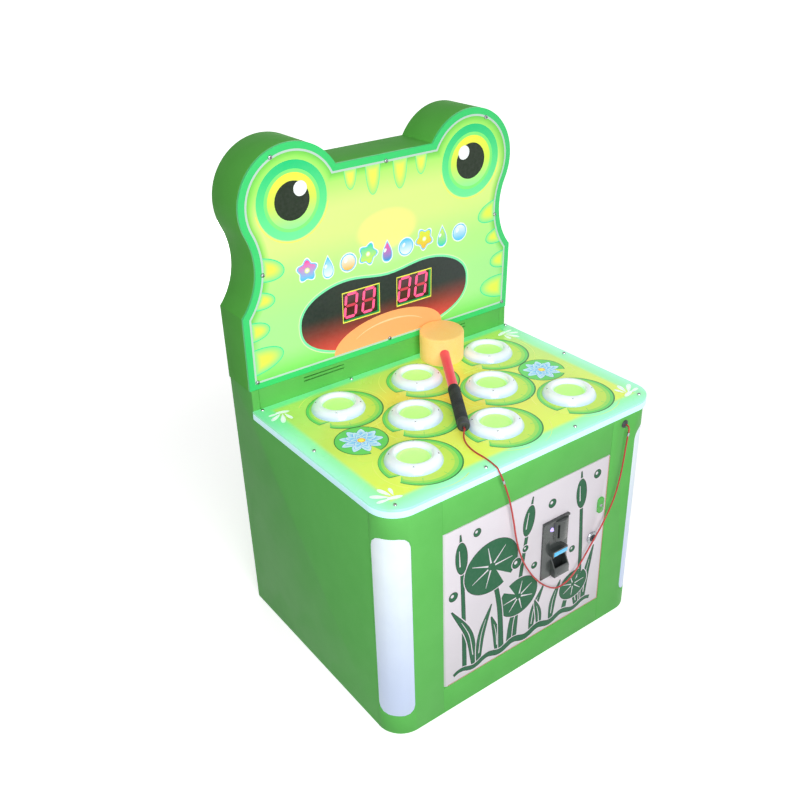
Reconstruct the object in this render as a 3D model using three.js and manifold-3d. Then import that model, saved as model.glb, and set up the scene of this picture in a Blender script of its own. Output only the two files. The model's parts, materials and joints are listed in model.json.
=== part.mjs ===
import * as THREE from 'three';
import { mergeVertices } from 'three/addons/utils/BufferGeometryUtils.js';
import Module from 'manifold-3d';

// A coin-operated mole pounding machine: a low cabinet with eight holes in a lit deck, a tall
// animal-shaped head with a score display, a coin door, and a soft hammer on a tether.
// Millimetres. X runs to the right of a player, Y runs to the back, Z is up.

// Fits shared by all pieces
const seamGap = 0.3;
const overrun = 2;
const weldDistance = 0.0005;

// The cabinet's boards and its rounded front corners
const cabinetWidth = 616;
const cabinetDepth = 499;
const boardThickness = 15;
const cornerRadius = 50;
const cornerPostReach = 110;
const deckUndersideHeight = 474;
const rearPanelThickness = 12;
const rearPanelInset = 4;
const ventWidth = 90;
const ventHeight = 6;
const ventPitch = 16;
const ventCount = 5;
const ventRowHeight = 300;

// The lit windows in the front corners
const lensBottomHeight = 43;
const lensBelowDeck = 44;
const lensThickness = 4;
const lensCornerRadius = 20;
const lensEdgeAngle = 4;
const lensFit = 0.6;
const lensEndSteps = 3;
const lensMiddleSteps = 6;

// The deck, of a printed clear panel on a lit frame
const deckSideOverhang = 2;
const deckFrontOverhang = 5.3;
const lightFrameThickness = 12;
const deckPanelThickness = 5;

// The riser behind the deck and its sound slots
const riserHeight = 40;
const riserPanelDrop = 60;
const soundSlotLength = 90;
const soundSlotHeight = 2.4;
const soundSlotPitch = 7;
const soundSlotSpacing = 304;
const soundSlotDrop = 8;
const speakerLength = 100;
const speakerHeight = 44;
const speakerFlange = 3;
const speakerConeDepth = 22;
const speakerMagnetRadius = 18;
const speakerMagnetDepth = 14;
const speakerNeckRadius = 14;
const speakerDrop = 36;

// The head that stands on the riser, with two round bumps for the eyes and a face that leans forward
const headDepth = 83;
const headWall = 15;
const faceLeanDegrees = 2.2;
const notchHeight = 144;
const waistRadius = 132;
const eyeBumpRadius = 103.5;
const eyeCentreHeight = 330;
const eyeCentreInset = 114;
const browHeight = 382;
const facePanelThickness = 6;
const lightBoardThickness = 3;
const lightBoardSetback = 12;

// The score display in its two windows
const scoreWindowWidth = 82;
const scoreWindowHeight = 57;
const scoreWindowSpacing = 125;
const scoreWindowCentreHeight = 109;
const scoreModuleDepth = 18;
const scoreModuleFit = 0.6;
const scoreModuleRecess = 5;
const scoreBoardMargin = 10;
const scoreBoardThickness = 2;

// The eight holes: the rows as shares of the deck's depth, the places in a row as shares of its width
const rowShares = [0.243, 0.514, 0.785];
const outerPlaceShares = [-0.292, 0, 0.292];
const middlePlaceShares = [-0.146, 0.146];

// The raised ring round each hole, its dome as shares of the ring's width and height
const ringRadius = 50;
const ringHeight = 16;
const ringBoreRadius = 30;
const ringSleeveWall = 6;
const ringSleeveDepth = 45;
const ringHoleFit = 1;
const ringDomeShares = [[1, 0.16], [0.8, 0.62], [0.5, 0.92], [0.22, 1], [0, 0.8]];

// The moles and the coils that push them up
const moleFit = 1.5;
const moleTopAboveDeck = 8;
const moleHeight = 50;
const moleEdgeRound = 3;
const moleCrown = 1.5;
const moleRodRadius = 5;
const moleRodTail = 13;
const coilBoreFit = 0.8;
const coilHeight = 60;
const coilRadius = 19;
const coilFlangeRadius = 24;
const coilFlangeThickness = 4;

// The service door in the front
const doorBottomHeight = 60;
const topRailHeight = 72;
const doorGap = 1.5;
const hingeRodRadius = 3;
const hingeRodFit = 0.3;
const hingeRodSeat = 12;

// The coin unit, placed by shares of the door's width and height
const coinUnitPlaceShares = [0.658, 0.575];
const coinUnitWidth = 64;
const coinUnitHeight = 127;
const coinPlateThickness = 3;
const coinBodyWidth = 56;
const coinBodyHeight = 117;
const coinBodyDepth = 68;
const coinBodyFit = 0.5;
const visorReach = 6;
const visorThickness = 4;
const bezelWidth = 34;
const bezelHeight = 44;
const bezelReach = 12;
const bezelOffset = 12;
const bezelRise = 37.5;
const slotOffset = 1;
const slotWidth = 3.5;
const slotHeight = 30;
const slotDepth = 30;
const buttonWidth = 34;
const buttonHeight = 9;
const buttonReach = 14;
const buttonDepth = 12;
const buttonFit = 0.5;
const buttonTravel = 4;
const buttonOffset = 6;
const buttonDrop = 8.5;
const hoodThickness = 3;
const returnCupWidth = 32;
const returnCupHeight = 36;
const returnCupDepth = 32;
const returnCupOffset = 9;
const returnCupDrop = 37;
const returnCupReach = 16;
const returnCupWall = 2.5;
const returnCupFloor = 6;
const returnCupFront = 9;
const flapThickness = 2;
const flapSetback = 4.5;
const flapFit = 0.6;
const flapPinRadius = 1.5;
const flapPinReach = 2;
const flapPinFit = 0.3;
const coinBoxWidth = 120;
const coinBoxDepth = 110;
const coinBoxHeight = 90;
const coinBoxWall = 2.5;

// The cam lock, placed by shares of the door's width and height
const lockPlaceShares = [0.917, 0.493];
const lockBezelRadius = 13;
const lockBezelThickness = 3.5;
const lockBarrelRadius = 9;
const lockBarrelLength = 22;
const lockPlugRadius = 7;
const lockFit = 0.4;
const keySlotWidth = 1.6;
const keySlotLength = 8;
const keySlotDepth = 3;
const camWidth = 13;
const camThickness = 2.5;
const camCatch = 14;

// The turning latch, placed by shares of the door's width and height
const latchPlaceShares = [0.958, 0.695];
const latchPlateWidth = 16;
const latchPlateLength = 34;
const latchPlateThickness = 3;
const latchCornerCut = 4;
const latchSpindleRadius = 3;
const latchBarWidth = 12;
const latchBarThickness = 3;
const latchCatch = 16;

// The hammer and where its head stands between two back rings
const hammerHeadRadius = 44;
const hammerHeadHeight = 60;
const hammerHeadRound = 3;
const hammerBackClearance = 3.6;
const hammerReach = 299.5;
const hammerShaftRadius = 9.4;
const hammerShaftSeat = 28;
const hammerGripRadius = 11.5;
const hammerGripLength = 128;
const hammerGripEnd = 8;
const hammerGripRound = 1.2;
const hammerPlaceShare = 0.53;
const hammerOutsideRing = 9;

// The tether's anchor in the right corner post, and the tether
const anchorFromSide = 80;
const anchorBelowDeck = 19;
const anchorBarrelRadius = 4;
const anchorHoleFit = 0.4;
const anchorFlangeRadius = 8;
const anchorFlangeThickness = 2;
const anchorNoseRadius = 3;
const anchorNoseReach = 4;
const anchorTail = 4;
const tetherDiameter = 3;
const tetherRoute = [
  [-59.4, 112.9, 502.75], [-62.6, 107.6, 502.2], [-67.7, 103.2, 499.4], [-72.4, 98, 495.8],
  [-77.2, 89.6, 493.5], [-82, 77, 492.85], [-85.4, 62.5, 492.8], [-86.6, 47.6, 492.8],
  [-86, 33, 492.8], [-86.3, 17.5, 492.8], [-88, 3.5, 492.85], [-89.6, -5, 493.1],
  [-89.9, -9.95, 491.05], [-88.9, -12, 486.1], [-85, -12, 478], [-77.2, -12, 458.5], [-63.6, -12, 417.5],
  [-52.6, -12, 369.9], [-46.6, -12, 338], [-35.4, -12, 296], [-18.5, -12, 256.5],
  [6.5, -12, 216.3], [36.4, -12, 183], [66.6, -12, 164.2], [95, -12, 167.5], [119, -12, 186],
  [149.5, -12, 222.8], [181.3, -12, 264.4], [202.9, -12, 304.4], [215, -12, 346],
  [220.6, -12, 385], [223.8, -12, 418], [226, -12, 437], [227.2, -12, 448.3],
  [227.8, -10.05, 453.05], [228, -5.3, 455], [228, -4.3, 455],
];

// The mains inlet and the control board on the rear panel
const inletFromSide = 108;
const inletHeight = 70;
const inletWidth = 27;
const inletBodyHeight = 22;
const inletBodyDepth = 24;
const inletFlangeMargin = 9;
const inletFlangeThickness = 2.5;
const inletWall = 2;
const inletRecessDepth = 16;
const inletFit = 0.5;
const circuitBoardWidth = 160;
const circuitBoardHeight = 100;
const circuitBoardThickness = 2;
const circuitBoardCentreHeight = 180;
const circuitBoardOffset = -90;
const standoffRadius = 4;
const standoffLength = 8;
const standoffMargin = 10;
const relayWidth = 20;
const relayHeight = 16;
const relayDepth = 14;
const relayPitch = 36;
const relayCount = 4;
const relayDrop = 22;
const heatSinkWidth = 70;
const heatSinkHeight = 26;
const heatSinkDepth = 20;
const heatSinkRise = 20;

// How finely round things are cut
const roundSides = 20;
const coilSides = 10;
const hammerSides = 28;
const smallSides = 12;
const cornerSteps = 6;
const bumpSteps = 16;
const waistSteps = 8;
const tetherSides = 8;
const tetherStepsPerPoint = 2;

// Places worked out from the sizes above
const halfWidth = cabinetWidth / 2;
const faceY = cabinetDepth - headDepth;
const frontSeamX = halfWidth - cornerPostReach;
const deckTopHeight = deckUndersideHeight + lightFrameThickness + deckPanelThickness;
const riserTopHeight = deckTopHeight + riserHeight;
const deckHalfWidth = halfWidth + deckSideOverhang;
const deckDepth = faceY - seamGap + deckFrontOverhang;
const rearPanelFrontY = cabinetDepth - rearPanelInset - rearPanelThickness;
const insideHalfWidth = halfWidth - boardThickness - seamGap;
const doorHalfWidth = frontSeamX - doorGap;
const doorTopHeight = deckUndersideHeight - topRailHeight;
const doorHeight = doorTopHeight - doorBottomHeight - 2 * doorGap;
const lensTopHeight = deckUndersideHeight - lensBelowDeck;
const hingeX = -doorHalfWidth + boardThickness / 2;
const moleTopHeight = deckTopHeight + moleTopAboveDeck;
const moleBottomHeight = moleTopHeight - moleHeight;
const coilTopHeight = moleBottomHeight - seamGap;
const coilBottomHeight = coilTopHeight - coilHeight;
const mechanismTopHeight = coilBottomHeight - seamGap;
const ringSleeveRadius = ringBoreRadius + ringSleeveWall;
const anchorX = halfWidth - anchorFromSide;
const anchorHeight = deckUndersideHeight - anchorBelowDeck;
const onDoor = (shares) => [
  -doorHalfWidth + shares[0] * 2 * doorHalfWidth,
  doorBottomHeight + doorGap + shares[1] * doorHeight,
];

const placesInRow = (row) => (row === 1 ? middlePlaceShares : outerPlaceShares);
const holePlaces = rowShares.flatMap((rowShare, row) => placesInRow(row).map((share) => [
  share * 2 * deckHalfWidth,
  rowShare * deckDepth - deckFrontOverhang,
]));
const frontRowY = holePlaces[1][1];

const finish = (color, roughness, metalness = 0) => (
  new THREE.MeshStandardMaterial({ color, roughness, metalness })
);
const green = finish(0x5fb850, 0.35);
const darkGreen = finish(0x3f7d34, 0.4);
const brightGreen = finish(0x4fe58c, 0.25);
const white = finish(0xece8ee, 0.4);
const litWhite = finish(0xeafcff, 0.3);
const paleGreen = finish(0xb6f57e, 0.4);
const black = finish(0x26292b, 0.5);
const steel = finish(0xb9bdc2, 0.3, 1);
const copper = finish(0xb87344, 0.45, 0.6);
const blue = finish(0x35a9e0, 0.3);
const amber = finish(0xffc766, 0.8);
const red = finish(0xf04545, 0.3);
const boardBrown = finish(0xa98c63, 0.8);

// Solids from three.js geometry, joined and cut
const wasm = await Module();
wasm.setup();

const welded = (geometry) => {
  const bare = geometry.clone();
  bare.deleteAttribute('normal');
  bare.deleteAttribute('uv');
  const merged = mergeVertices(bare, weldDistance);
  const corners = merged.index.array;
  const kept = [];
  for (let i = 0; i < corners.length; i += 3) {
    const [a, b, c] = corners.slice(i, i + 3);
    if (a !== b && b !== c && c !== a) kept.push(a, b, c);
  }
  merged.setIndex(kept);
  return merged;
};
const signedVolume = (geometry) => {
  const at = (i) => new THREE.Vector3().fromBufferAttribute(geometry.attributes.position, i);
  const corners = geometry.index.array;
  let sum = 0;
  for (let i = 0; i < corners.length; i += 3) {
    sum += at(corners[i]).dot(at(corners[i + 1]).cross(at(corners[i + 2]))) / 6;
  }
  return sum;
};
const closed = (geometry) => {
  const mesh = welded(geometry);
  if (signedVolume(mesh) < 0) mesh.setIndex([...mesh.index.array].reverse());
  return mesh;
};
const solidOf = (geometry) => {
  const mesh = closed(geometry);
  return new wasm.Manifold(new wasm.Mesh({
    numProp: 3,
    vertProperties: new Float32Array(mesh.attributes.position.array),
    triVerts: new Uint32Array(mesh.index.array),
  }));
};
const geometryOf = (solid) => {
  const mesh = solid.getMesh();
  const geometry = new THREE.BufferGeometry();
  geometry.setAttribute('position', new THREE.BufferAttribute(mesh.vertProperties, 3));
  geometry.setIndex(new THREE.BufferAttribute(mesh.triVerts, 1));
  return geometry;
};
const join = (...parts) => geometryOf(parts.map(solidOf).reduce((a, b) => a.add(b)));
const cut = (whole, ...tools) => (
  geometryOf(tools.map(solidOf).reduce((a, b) => a.subtract(b), solidOf(whole)))
);

// Plain forms
const block = (x0, x1, y0, y1, z0, z1) => (
  new THREE.BoxGeometry(x1 - x0, y1 - y0, z1 - z0)
    .translate((x0 + x1) / 2, (y0 + y1) / 2, (z0 + z1) / 2)
);
const alongX = new THREE.Vector3(1, 0, 0);
const alongY = new THREE.Vector3(0, 1, 0);
const alongZ = new THREE.Vector3(0, 0, 1);
const shapeOf = (points) => new THREE.Shape(points.map(([x, y]) => new THREE.Vector2(x, y)));
const prism = (points, length) => (
  new THREE.ExtrudeGeometry(shapeOf(points), { depth: length, bevelEnabled: false })
);
const pierced = (form, holes) => (holes.length ? cut(form, ...holes) : form);
const prismUp = (points, z0, z1, holes = []) => pierced(
  prism(points, z1 - z0).translate(0, 0, z0),
  holes.map((hole) => prismUp(hole, z0 - overrun, z1 + overrun)),
);
// The outline is in X and Z and the prism runs back along Y
const prismBack = (points, y0, y1, holes = []) => pierced(
  prism(points, y1 - y0)
    .applyMatrix4(new THREE.Matrix4().makeBasis(alongX, alongZ, alongY.clone().negate()))
    .translate(0, y1, 0),
  holes.map((hole) => prismBack(hole, y0 - overrun, y1 + overrun)),
);
// The outline is in Y and Z and the prism runs across along X
const prismAcross = (points, x0, x1) => (
  prism(points, x1 - x0)
    .applyMatrix4(new THREE.Matrix4().makeBasis(alongY, alongZ, alongX))
    .translate(x0, 0, 0)
);
const arc = (cx, cy, radius, from, to, steps) => (
  Array.from({ length: steps + 1 }, (_, i) => {
    const angle = from + (to - from) * i / steps;
    return [cx + radius * Math.cos(angle), cy + radius * Math.sin(angle)];
  })
);
const circle = (cx, cy, radius, sides) => (
  arc(cx, cy, radius, 0, 2 * Math.PI, sides).slice(0, -1)
);
const rectangle = (cx, cy, width, height) => [
  [cx - width / 2, cy - height / 2], [cx + width / 2, cy - height / 2],
  [cx + width / 2, cy + height / 2], [cx - width / 2, cy + height / 2],
];
// A profile of radius and height, turned about Z
const turned = (profile, sides) => (
  new THREE.LatheGeometry(profile.map(([r, z]) => new THREE.Vector2(r, z)), sides)
    .rotateX(Math.PI / 2)
);
// A profile of radius and Y, turned about an axis that runs back
const turnedBack = (profile, sides) => (
  new THREE.LatheGeometry(profile.map(([r, y]) => new THREE.Vector2(r, y)), sides)
);
const inward = Math.PI / 180;

const machine = new THREE.Group();
machine.position.y = -(cabinetDepth - returnCupReach) / 2;
const piece = (name, geometry, material, home = machine) => {
  const mesh = new THREE.Mesh(closed(geometry), material);
  mesh.name = name;
  home.add(mesh);
  return mesh;
};

// A plan outline with rounded front corners, drawn in from the cabinet's outer faces
const planOutline = (inset, backY, radius = cornerRadius - inset) => {
  const x = halfWidth - inset;
  return [
    ...arc(-x + radius, inset + radius, radius, Math.PI, 1.5 * Math.PI, cornerSteps),
    ...arc(x - radius, inset + radius, radius, 1.5 * Math.PI, 2 * Math.PI, cornerSteps),
    [x, backY], [-x, backY],
  ];
};

// Cabinet boards
const sideProfile = [
  [cornerRadius + seamGap, 0], [cabinetDepth, 0], [cabinetDepth, riserTopHeight],
  [faceY, riserTopHeight], [faceY, deckUndersideHeight - seamGap],
  [cornerRadius + seamGap, deckUndersideHeight - seamGap],
];
piece('left_side_panel', prismAcross(sideProfile, -halfWidth, -halfWidth + boardThickness), green);
piece('right_side_panel', prismAcross(sideProfile, halfWidth - boardThickness, halfWidth), green);

const inletX = halfWidth - inletFromSide;
const rearPanel = () => {
  const vents = Array.from({ length: ventCount }, (_, i) => (
    rectangle(0, ventRowHeight + i * ventPitch, ventWidth, ventHeight)
  ));
  const inletHole = rectangle(inletX, inletHeight, inletWidth + 2 * inletFit,
    inletBodyHeight + 2 * inletFit);
  const outline = rectangle(0, riserTopHeight / 2, 2 * insideHalfWidth, riserTopHeight);
  return prismBack(outline, rearPanelFrontY, rearPanelFrontY + rearPanelThickness,
    [...vents, inletHole]);
};
piece('rear_panel', rearPanel(), green);

const insideBoard = (z0, z1, holes) => (
  prismUp(planOutline(boardThickness + seamGap, rearPanelFrontY - seamGap), z0, z1, holes)
);
piece('base_board', insideBoard(0, boardThickness), boardBrown);

const railHalfWidth = frontSeamX - seamGap;
const rodSeatHole = (z0, z1) => (
  prismUp(circle(hingeX, boardThickness / 2, hingeRodRadius + hingeRodFit, smallSides), z0, z1)
);
piece('front_top_rail', cut(
  block(-railHalfWidth, railHalfWidth, 0, boardThickness, doorTopHeight, deckUndersideHeight - seamGap),
  rodSeatHole(doorTopHeight - overrun, doorTopHeight + hingeRodSeat),
), green);
piece('front_bottom_rail', cut(
  block(-railHalfWidth, railHalfWidth, 0, boardThickness, 0, doorBottomHeight),
  rodSeatHole(doorBottomHeight - hingeRodSeat, doorBottomHeight + overrun),
), green);

// Corner posts, right one first, each with a window for its lens
const postCentre = [halfWidth - cornerRadius, cornerRadius];
const postOutline = () => [
  ...arc(...postCentre, cornerRadius, 1.5 * Math.PI, 2 * Math.PI, cornerSteps * 2),
  ...arc(...postCentre, cornerRadius - boardThickness, 2 * Math.PI, 1.5 * Math.PI, cornerSteps * 2),
  [frontSeamX, boardThickness], [frontSeamX, 0],
];
// A curved slab on the corner with rounded ends, made column by column
const cornerSlab = (innerRadius, outerRadius, grow) => {
  const startAngle = 1.5 * Math.PI + lensEdgeAngle * inward - grow / cornerRadius;
  const endAngle = 2 * Math.PI - lensEdgeAngle * inward + grow / cornerRadius;
  const roundAngle = lensCornerRadius / cornerRadius;
  const quarter = arc(0, 0, 1, Math.PI, Math.PI / 2, lensEndSteps);
  const rising = quarter.map(([x, y]) => [startAngle + (1 + x) * roundAngle, (1 - y)]);
  const falling = rising.map(([angle, drop]) => [startAngle + endAngle - angle, drop]).reverse();
  const middle = Array.from({ length: lensMiddleSteps - 1 }, (_, i) => [
    startAngle + roundAngle + (endAngle - startAngle - 2 * roundAngle) * (i + 1) / lensMiddleSteps, 0,
  ]);
  const columns = [...rising, ...middle, ...falling];
  const positions = columns.flatMap(([angle, drop]) => {
    const low = lensBottomHeight - grow + drop * lensCornerRadius;
    const high = lensTopHeight + grow - drop * lensCornerRadius;
    const at = (radius, z) => [
      postCentre[0] + radius * Math.cos(angle), postCentre[1] + radius * Math.sin(angle), z,
    ];
    return [at(innerRadius, low), at(outerRadius, low), at(outerRadius, high), at(innerRadius, high)];
  }).flat();
  const index = [0, 1, 2, 0, 2, 3];
  columns.slice(1).forEach((_, column) => {
    [0, 1, 2, 3].forEach((side) => {
      const a = column * 4 + side;
      const b = column * 4 + (side + 1) % 4;
      index.push(a, b + 4, b, a, a + 4, b + 4);
    });
  });
  const last = (columns.length - 1) * 4;
  index.push(last, last + 2, last + 1, last, last + 3, last + 2);
  const geometry = new THREE.BufferGeometry();
  geometry.setAttribute('position', new THREE.Float32BufferAttribute(positions, 3));
  geometry.setIndex(index);
  return geometry;
};
const anchorHole = turnedBack([
  [0, -overrun], [anchorBarrelRadius + anchorHoleFit, -overrun],
  [anchorBarrelRadius + anchorHoleFit, boardThickness + overrun], [0, boardThickness + overrun],
], smallSides).translate(anchorX, 0, anchorHeight);
const window = cornerSlab(cornerRadius - boardThickness - overrun, cornerRadius + overrun, 0);
const post = cut(prismUp(postOutline(), 0, deckUndersideHeight - seamGap), window);
const lens = cornerSlab(cornerRadius - lensThickness, cornerRadius, -lensFit);
const mirrored = (geometry) => geometry.clone().scale(-1, 1, 1);
piece('left_corner_post', mirrored(post), green);
piece('right_corner_post', cut(post, anchorHole), green);
piece('left_corner_lens', mirrored(lens), litWhite);
piece('right_corner_lens', lens.clone(), litWhite);

// Deck
const deckOutline = planOutline(-deckSideOverhang, faceY - seamGap, cornerRadius + deckSideOverhang)
  .map(([x, y]) => [x, y < cornerRadius ? y + deckSideOverhang - deckFrontOverhang : y]);
const deckHoles = holePlaces.map(([x, y]) => (
  circle(x, y, ringSleeveRadius + ringHoleFit, roundSides)
));
piece('deck_light_frame', prismUp(deckOutline, deckUndersideHeight,
  deckUndersideHeight + lightFrameThickness - seamGap, deckHoles), litWhite);
piece('deck_panel', prismUp(deckOutline, deckUndersideHeight + lightFrameThickness,
  deckTopHeight, deckHoles), paleGreen);

// Rings, moles and coils
const ringWidth = ringRadius - ringBoreRadius;
const ringProfile = [
  [ringBoreRadius, -ringSleeveDepth], [ringSleeveRadius, -ringSleeveDepth],
  [ringSleeveRadius, seamGap], [ringRadius, seamGap],
  ...ringDomeShares.map(([across, up]) => [ringBoreRadius + across * ringWidth, up * ringHeight]),
  [ringBoreRadius, -ringSleeveDepth],
];
const moleRadius = ringBoreRadius - moleFit;
const moleProfile = [
  [0, coilBottomHeight - moleRodTail], [moleRodRadius, coilBottomHeight - moleRodTail],
  [moleRodRadius, moleBottomHeight], [moleRadius, moleBottomHeight],
  [moleRadius, moleTopHeight - moleEdgeRound], [moleRadius - moleEdgeRound, moleTopHeight],
  [0, moleTopHeight + moleCrown],
];
const coilBoreRadius = moleRodRadius + coilBoreFit;
const coilProfile = [
  [coilBoreRadius, coilBottomHeight], [coilFlangeRadius, coilBottomHeight],
  [coilFlangeRadius, coilBottomHeight + coilFlangeThickness],
  [coilRadius, coilBottomHeight + coilFlangeThickness],
  [coilRadius, coilTopHeight - coilFlangeThickness],
  [coilFlangeRadius, coilTopHeight - coilFlangeThickness],
  [coilFlangeRadius, coilTopHeight], [coilBoreRadius, coilTopHeight],
  [coilBoreRadius, coilBottomHeight],
];
holePlaces.forEach(([x, y], i) => {
  const number = i + 1;
  piece(`hole_ring_${number}`, turned(ringProfile, roundSides).translate(x, y, deckTopHeight), litWhite);
  piece(`mole_${number}`, turned(moleProfile, roundSides).translate(x, y, 0), paleGreen);
  piece(`solenoid_${number}`, turned(coilProfile, coilSides).translate(x, y, 0), copper);
});
piece('mechanism_board', insideBoard(mechanismTopHeight - boardThickness, mechanismTopHeight,
  holePlaces.map(([x, y]) => circle(x, y, coilBoreRadius + overrun, smallSides))), boardBrown);

// Riser and speaker
const slotHeights = [0, 1].map((i) => riserTopHeight - soundSlotDrop - i * soundSlotPitch);
const soundSlots = [-1, 1].flatMap((side) => slotHeights.map((z) => (
  rectangle(side * soundSlotSpacing / 2, z, soundSlotLength, soundSlotHeight)
)));
const riserBottomHeight = deckTopHeight - riserPanelDrop;
piece('riser_panel', prismBack(
  rectangle(0, (riserTopHeight + riserBottomHeight) / 2, 2 * insideHalfWidth,
    riserTopHeight - riserBottomHeight),
  faceY, faceY + boardThickness, soundSlots,
), green);

const speaker = () => {
  const backY = faceY + boardThickness + seamGap;
  const x = -soundSlotSpacing / 2;
  const z = riserTopHeight - speakerDrop;
  const flangeBackY = backY + speakerFlange;
  const coneBackY = flangeBackY + speakerConeDepth;
  const oval = circle(0, 0, 1, roundSides).map(([u, v]) => [
    x + u * speakerLength / 2, z + v * speakerHeight / 2,
  ]);
  const cone = turnedBack([
    [0, flangeBackY - speakerFlange / 2],
    [speakerHeight / 2 - speakerFlange, flangeBackY - speakerFlange / 2],
    [speakerNeckRadius, coneBackY], [speakerMagnetRadius, coneBackY],
    [speakerMagnetRadius, coneBackY + speakerMagnetDepth], [0, coneBackY + speakerMagnetDepth],
  ], roundSides).translate(x, 0, z);
  return join(prismBack(oval, backY, flangeBackY), cone);
};
piece('speaker', speaker(), black);

// Head: one outline, drawn in by an inset, gives the shell, the face, the light board and the back
const headHalfWidth = deckHalfWidth;
const headBottomHeight = riserTopHeight + seamGap;
const eyeX = headHalfWidth - eyeCentreInset;
const eyeHeight = riserTopHeight + eyeCentreHeight;
const waistCentre = () => {
  const fromEye = eyeBumpRadius + waistRadius;
  const dx = headHalfWidth - eyeX;
  const dz = notchHeight - eyeCentreHeight;
  const span = Math.hypot(dx, dz);
  const along = (fromEye ** 2 - waistRadius ** 2 + span ** 2) / (2 * span);
  const aside = Math.sqrt(fromEye ** 2 - along ** 2);
  return [
    eyeX + (along * dx - aside * dz) / span,
    eyeHeight + (along * dz + aside * dx) / span,
  ];
};
const headOutline = (inset) => {
  const [waistX, waistHeight] = waistCentre();
  const bump = eyeBumpRadius - inset;
  const waist = waistRadius + inset;
  const side = headHalfWidth - inset;
  const brow = riserTopHeight + browHeight - inset;
  const joint = Math.atan2(waistHeight - eyeHeight, waistX - eyeX);
  const notchAngle = Math.PI + Math.acos((waistX - side) / waist);
  const browAngle = Math.PI - Math.asin((brow - eyeHeight) / bump);
  const right = [
    [side, headBottomHeight + inset],
    ...arc(waistX, waistHeight, waist, notchAngle, Math.PI + joint, waistSteps),
    ...arc(eyeX, eyeHeight, bump, joint, browAngle, bumpSteps).slice(1),
  ];
  return [...right, ...right.map(([x, z]) => [-x, z]).reverse()];
};
const faceBackY = faceY + facePanelThickness;
const scoreHeight = riserTopHeight + scoreWindowCentreHeight;
const scoreWindows = (grow) => [-1, 1].map((side) => rectangle(
  side * scoreWindowSpacing / 2, scoreHeight, scoreWindowWidth + 2 * grow, scoreWindowHeight + 2 * grow,
));
// The face and what is mounted on it lean forward from their foot. A point at straightY keeps its
// place, so the shell reaches from the leaning face to an upright back.
const faceLean = Math.tan(faceLeanDegrees * Math.PI / 180);
const leanedForward = (geometry, leaningY = 0, straightY = Infinity) => {
  const points = geometry.getAttribute('position');
  for (let i = 0; i < points.count; i += 1) {
    const y = points.getY(i);
    const share = straightY === Infinity ? 1 : (straightY - y) / (straightY - leaningY);
    points.setY(i, y - share * faceLean * (points.getZ(i) - headBottomHeight));
  }
  return geometry;
};
const shellFrontY = faceBackY + seamGap;
piece('head_shell', leanedForward(
  prismBack(headOutline(0), shellFrontY, cabinetDepth, [headOutline(headWall)]),
  shellFrontY, cabinetDepth,
), darkGreen);
piece('face_panel', leanedForward(
  prismBack(headOutline(0), faceY, faceBackY, scoreWindows(0)),
), brightGreen);
const insideHead = (y0, y1, holes) => prismBack(headOutline(headWall + seamGap), y0, y1, holes);
piece('head_back_panel', insideHead(rearPanelFrontY, rearPanelFrontY + rearPanelThickness), darkGreen);
const lightBoardY = faceBackY + lightBoardSetback;
piece('light_board', leanedForward(
  insideHead(lightBoardY, lightBoardY + lightBoardThickness, scoreWindows(seamGap)),
), white);

const scoreDisplay = () => {
  const frontY = faceY + scoreModuleRecess;
  const boardY = frontY + scoreModuleDepth;
  const modules = scoreWindows(-scoreModuleFit).map((window) => (
    prismBack(window, frontY, boardY + scoreBoardThickness / 2)
  ));
  const board = prismBack(rectangle(
    0, scoreHeight, scoreWindowSpacing + scoreWindowWidth + 2 * scoreBoardMargin,
    scoreWindowHeight - 2 * scoreBoardMargin,
  ), boardY, boardY + scoreBoardThickness);
  return join(board, ...modules);
};
piece('score_display', leanedForward(scoreDisplay()), black);

// Rear services
const powerInlet = () => {
  const backY = rearPanelFrontY + rearPanelThickness + seamGap;
  const flange = prismBack(rectangle(inletX, inletHeight, inletWidth + 2 * inletFlangeMargin,
    inletBodyHeight + inletFlangeMargin), backY, backY + inletFlangeThickness);
  const body = prismBack(rectangle(inletX, inletHeight, inletWidth, inletBodyHeight),
    backY - inletBodyDepth, backY + inletFlangeThickness / 2);
  const recess = prismBack(rectangle(inletX, inletHeight, inletWidth - 2 * inletWall,
    inletBodyHeight - 2 * inletWall), backY - inletRecessDepth, backY + inletFlangeThickness + overrun);
  return cut(join(flange, body), recess);
};
piece('power_inlet', powerInlet(), black);

const controlBoard = () => {
  const rearY = rearPanelFrontY - seamGap;
  const boardBackY = rearY - standoffLength;
  const boardY = boardBackY - circuitBoardThickness;
  const [x, z] = [circuitBoardOffset, circuitBoardCentreHeight];
  const spreadX = circuitBoardWidth / 2 - standoffMargin;
  const spreadZ = circuitBoardHeight / 2 - standoffMargin;
  const standoffs = [[-1, -1], [1, -1], [-1, 1], [1, 1]].map(([right, up]) => prismBack(
    circle(x + right * spreadX, z + up * spreadZ, standoffRadius, smallSides / 2),
    boardBackY - circuitBoardThickness / 2, rearY,
  ));
  const firstRelayX = x - (relayCount - 1) * relayPitch / 2;
  const relays = Array.from({ length: relayCount }, (_, i) => prismBack(
    rectangle(firstRelayX + i * relayPitch, z - relayDrop, relayWidth, relayHeight),
    boardY - relayDepth, boardY + circuitBoardThickness / 2,
  ));
  const heatSink = prismBack(rectangle(x, z + heatSinkRise, heatSinkWidth, heatSinkHeight),
    boardY - heatSinkDepth, boardY + circuitBoardThickness / 2);
  const board = prismBack(rectangle(x, z, circuitBoardWidth, circuitBoardHeight), boardY, boardBackY);
  return join(board, heatSink, ...standoffs, ...relays);
};
piece('control_board', controlBoard(), darkGreen);

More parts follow.
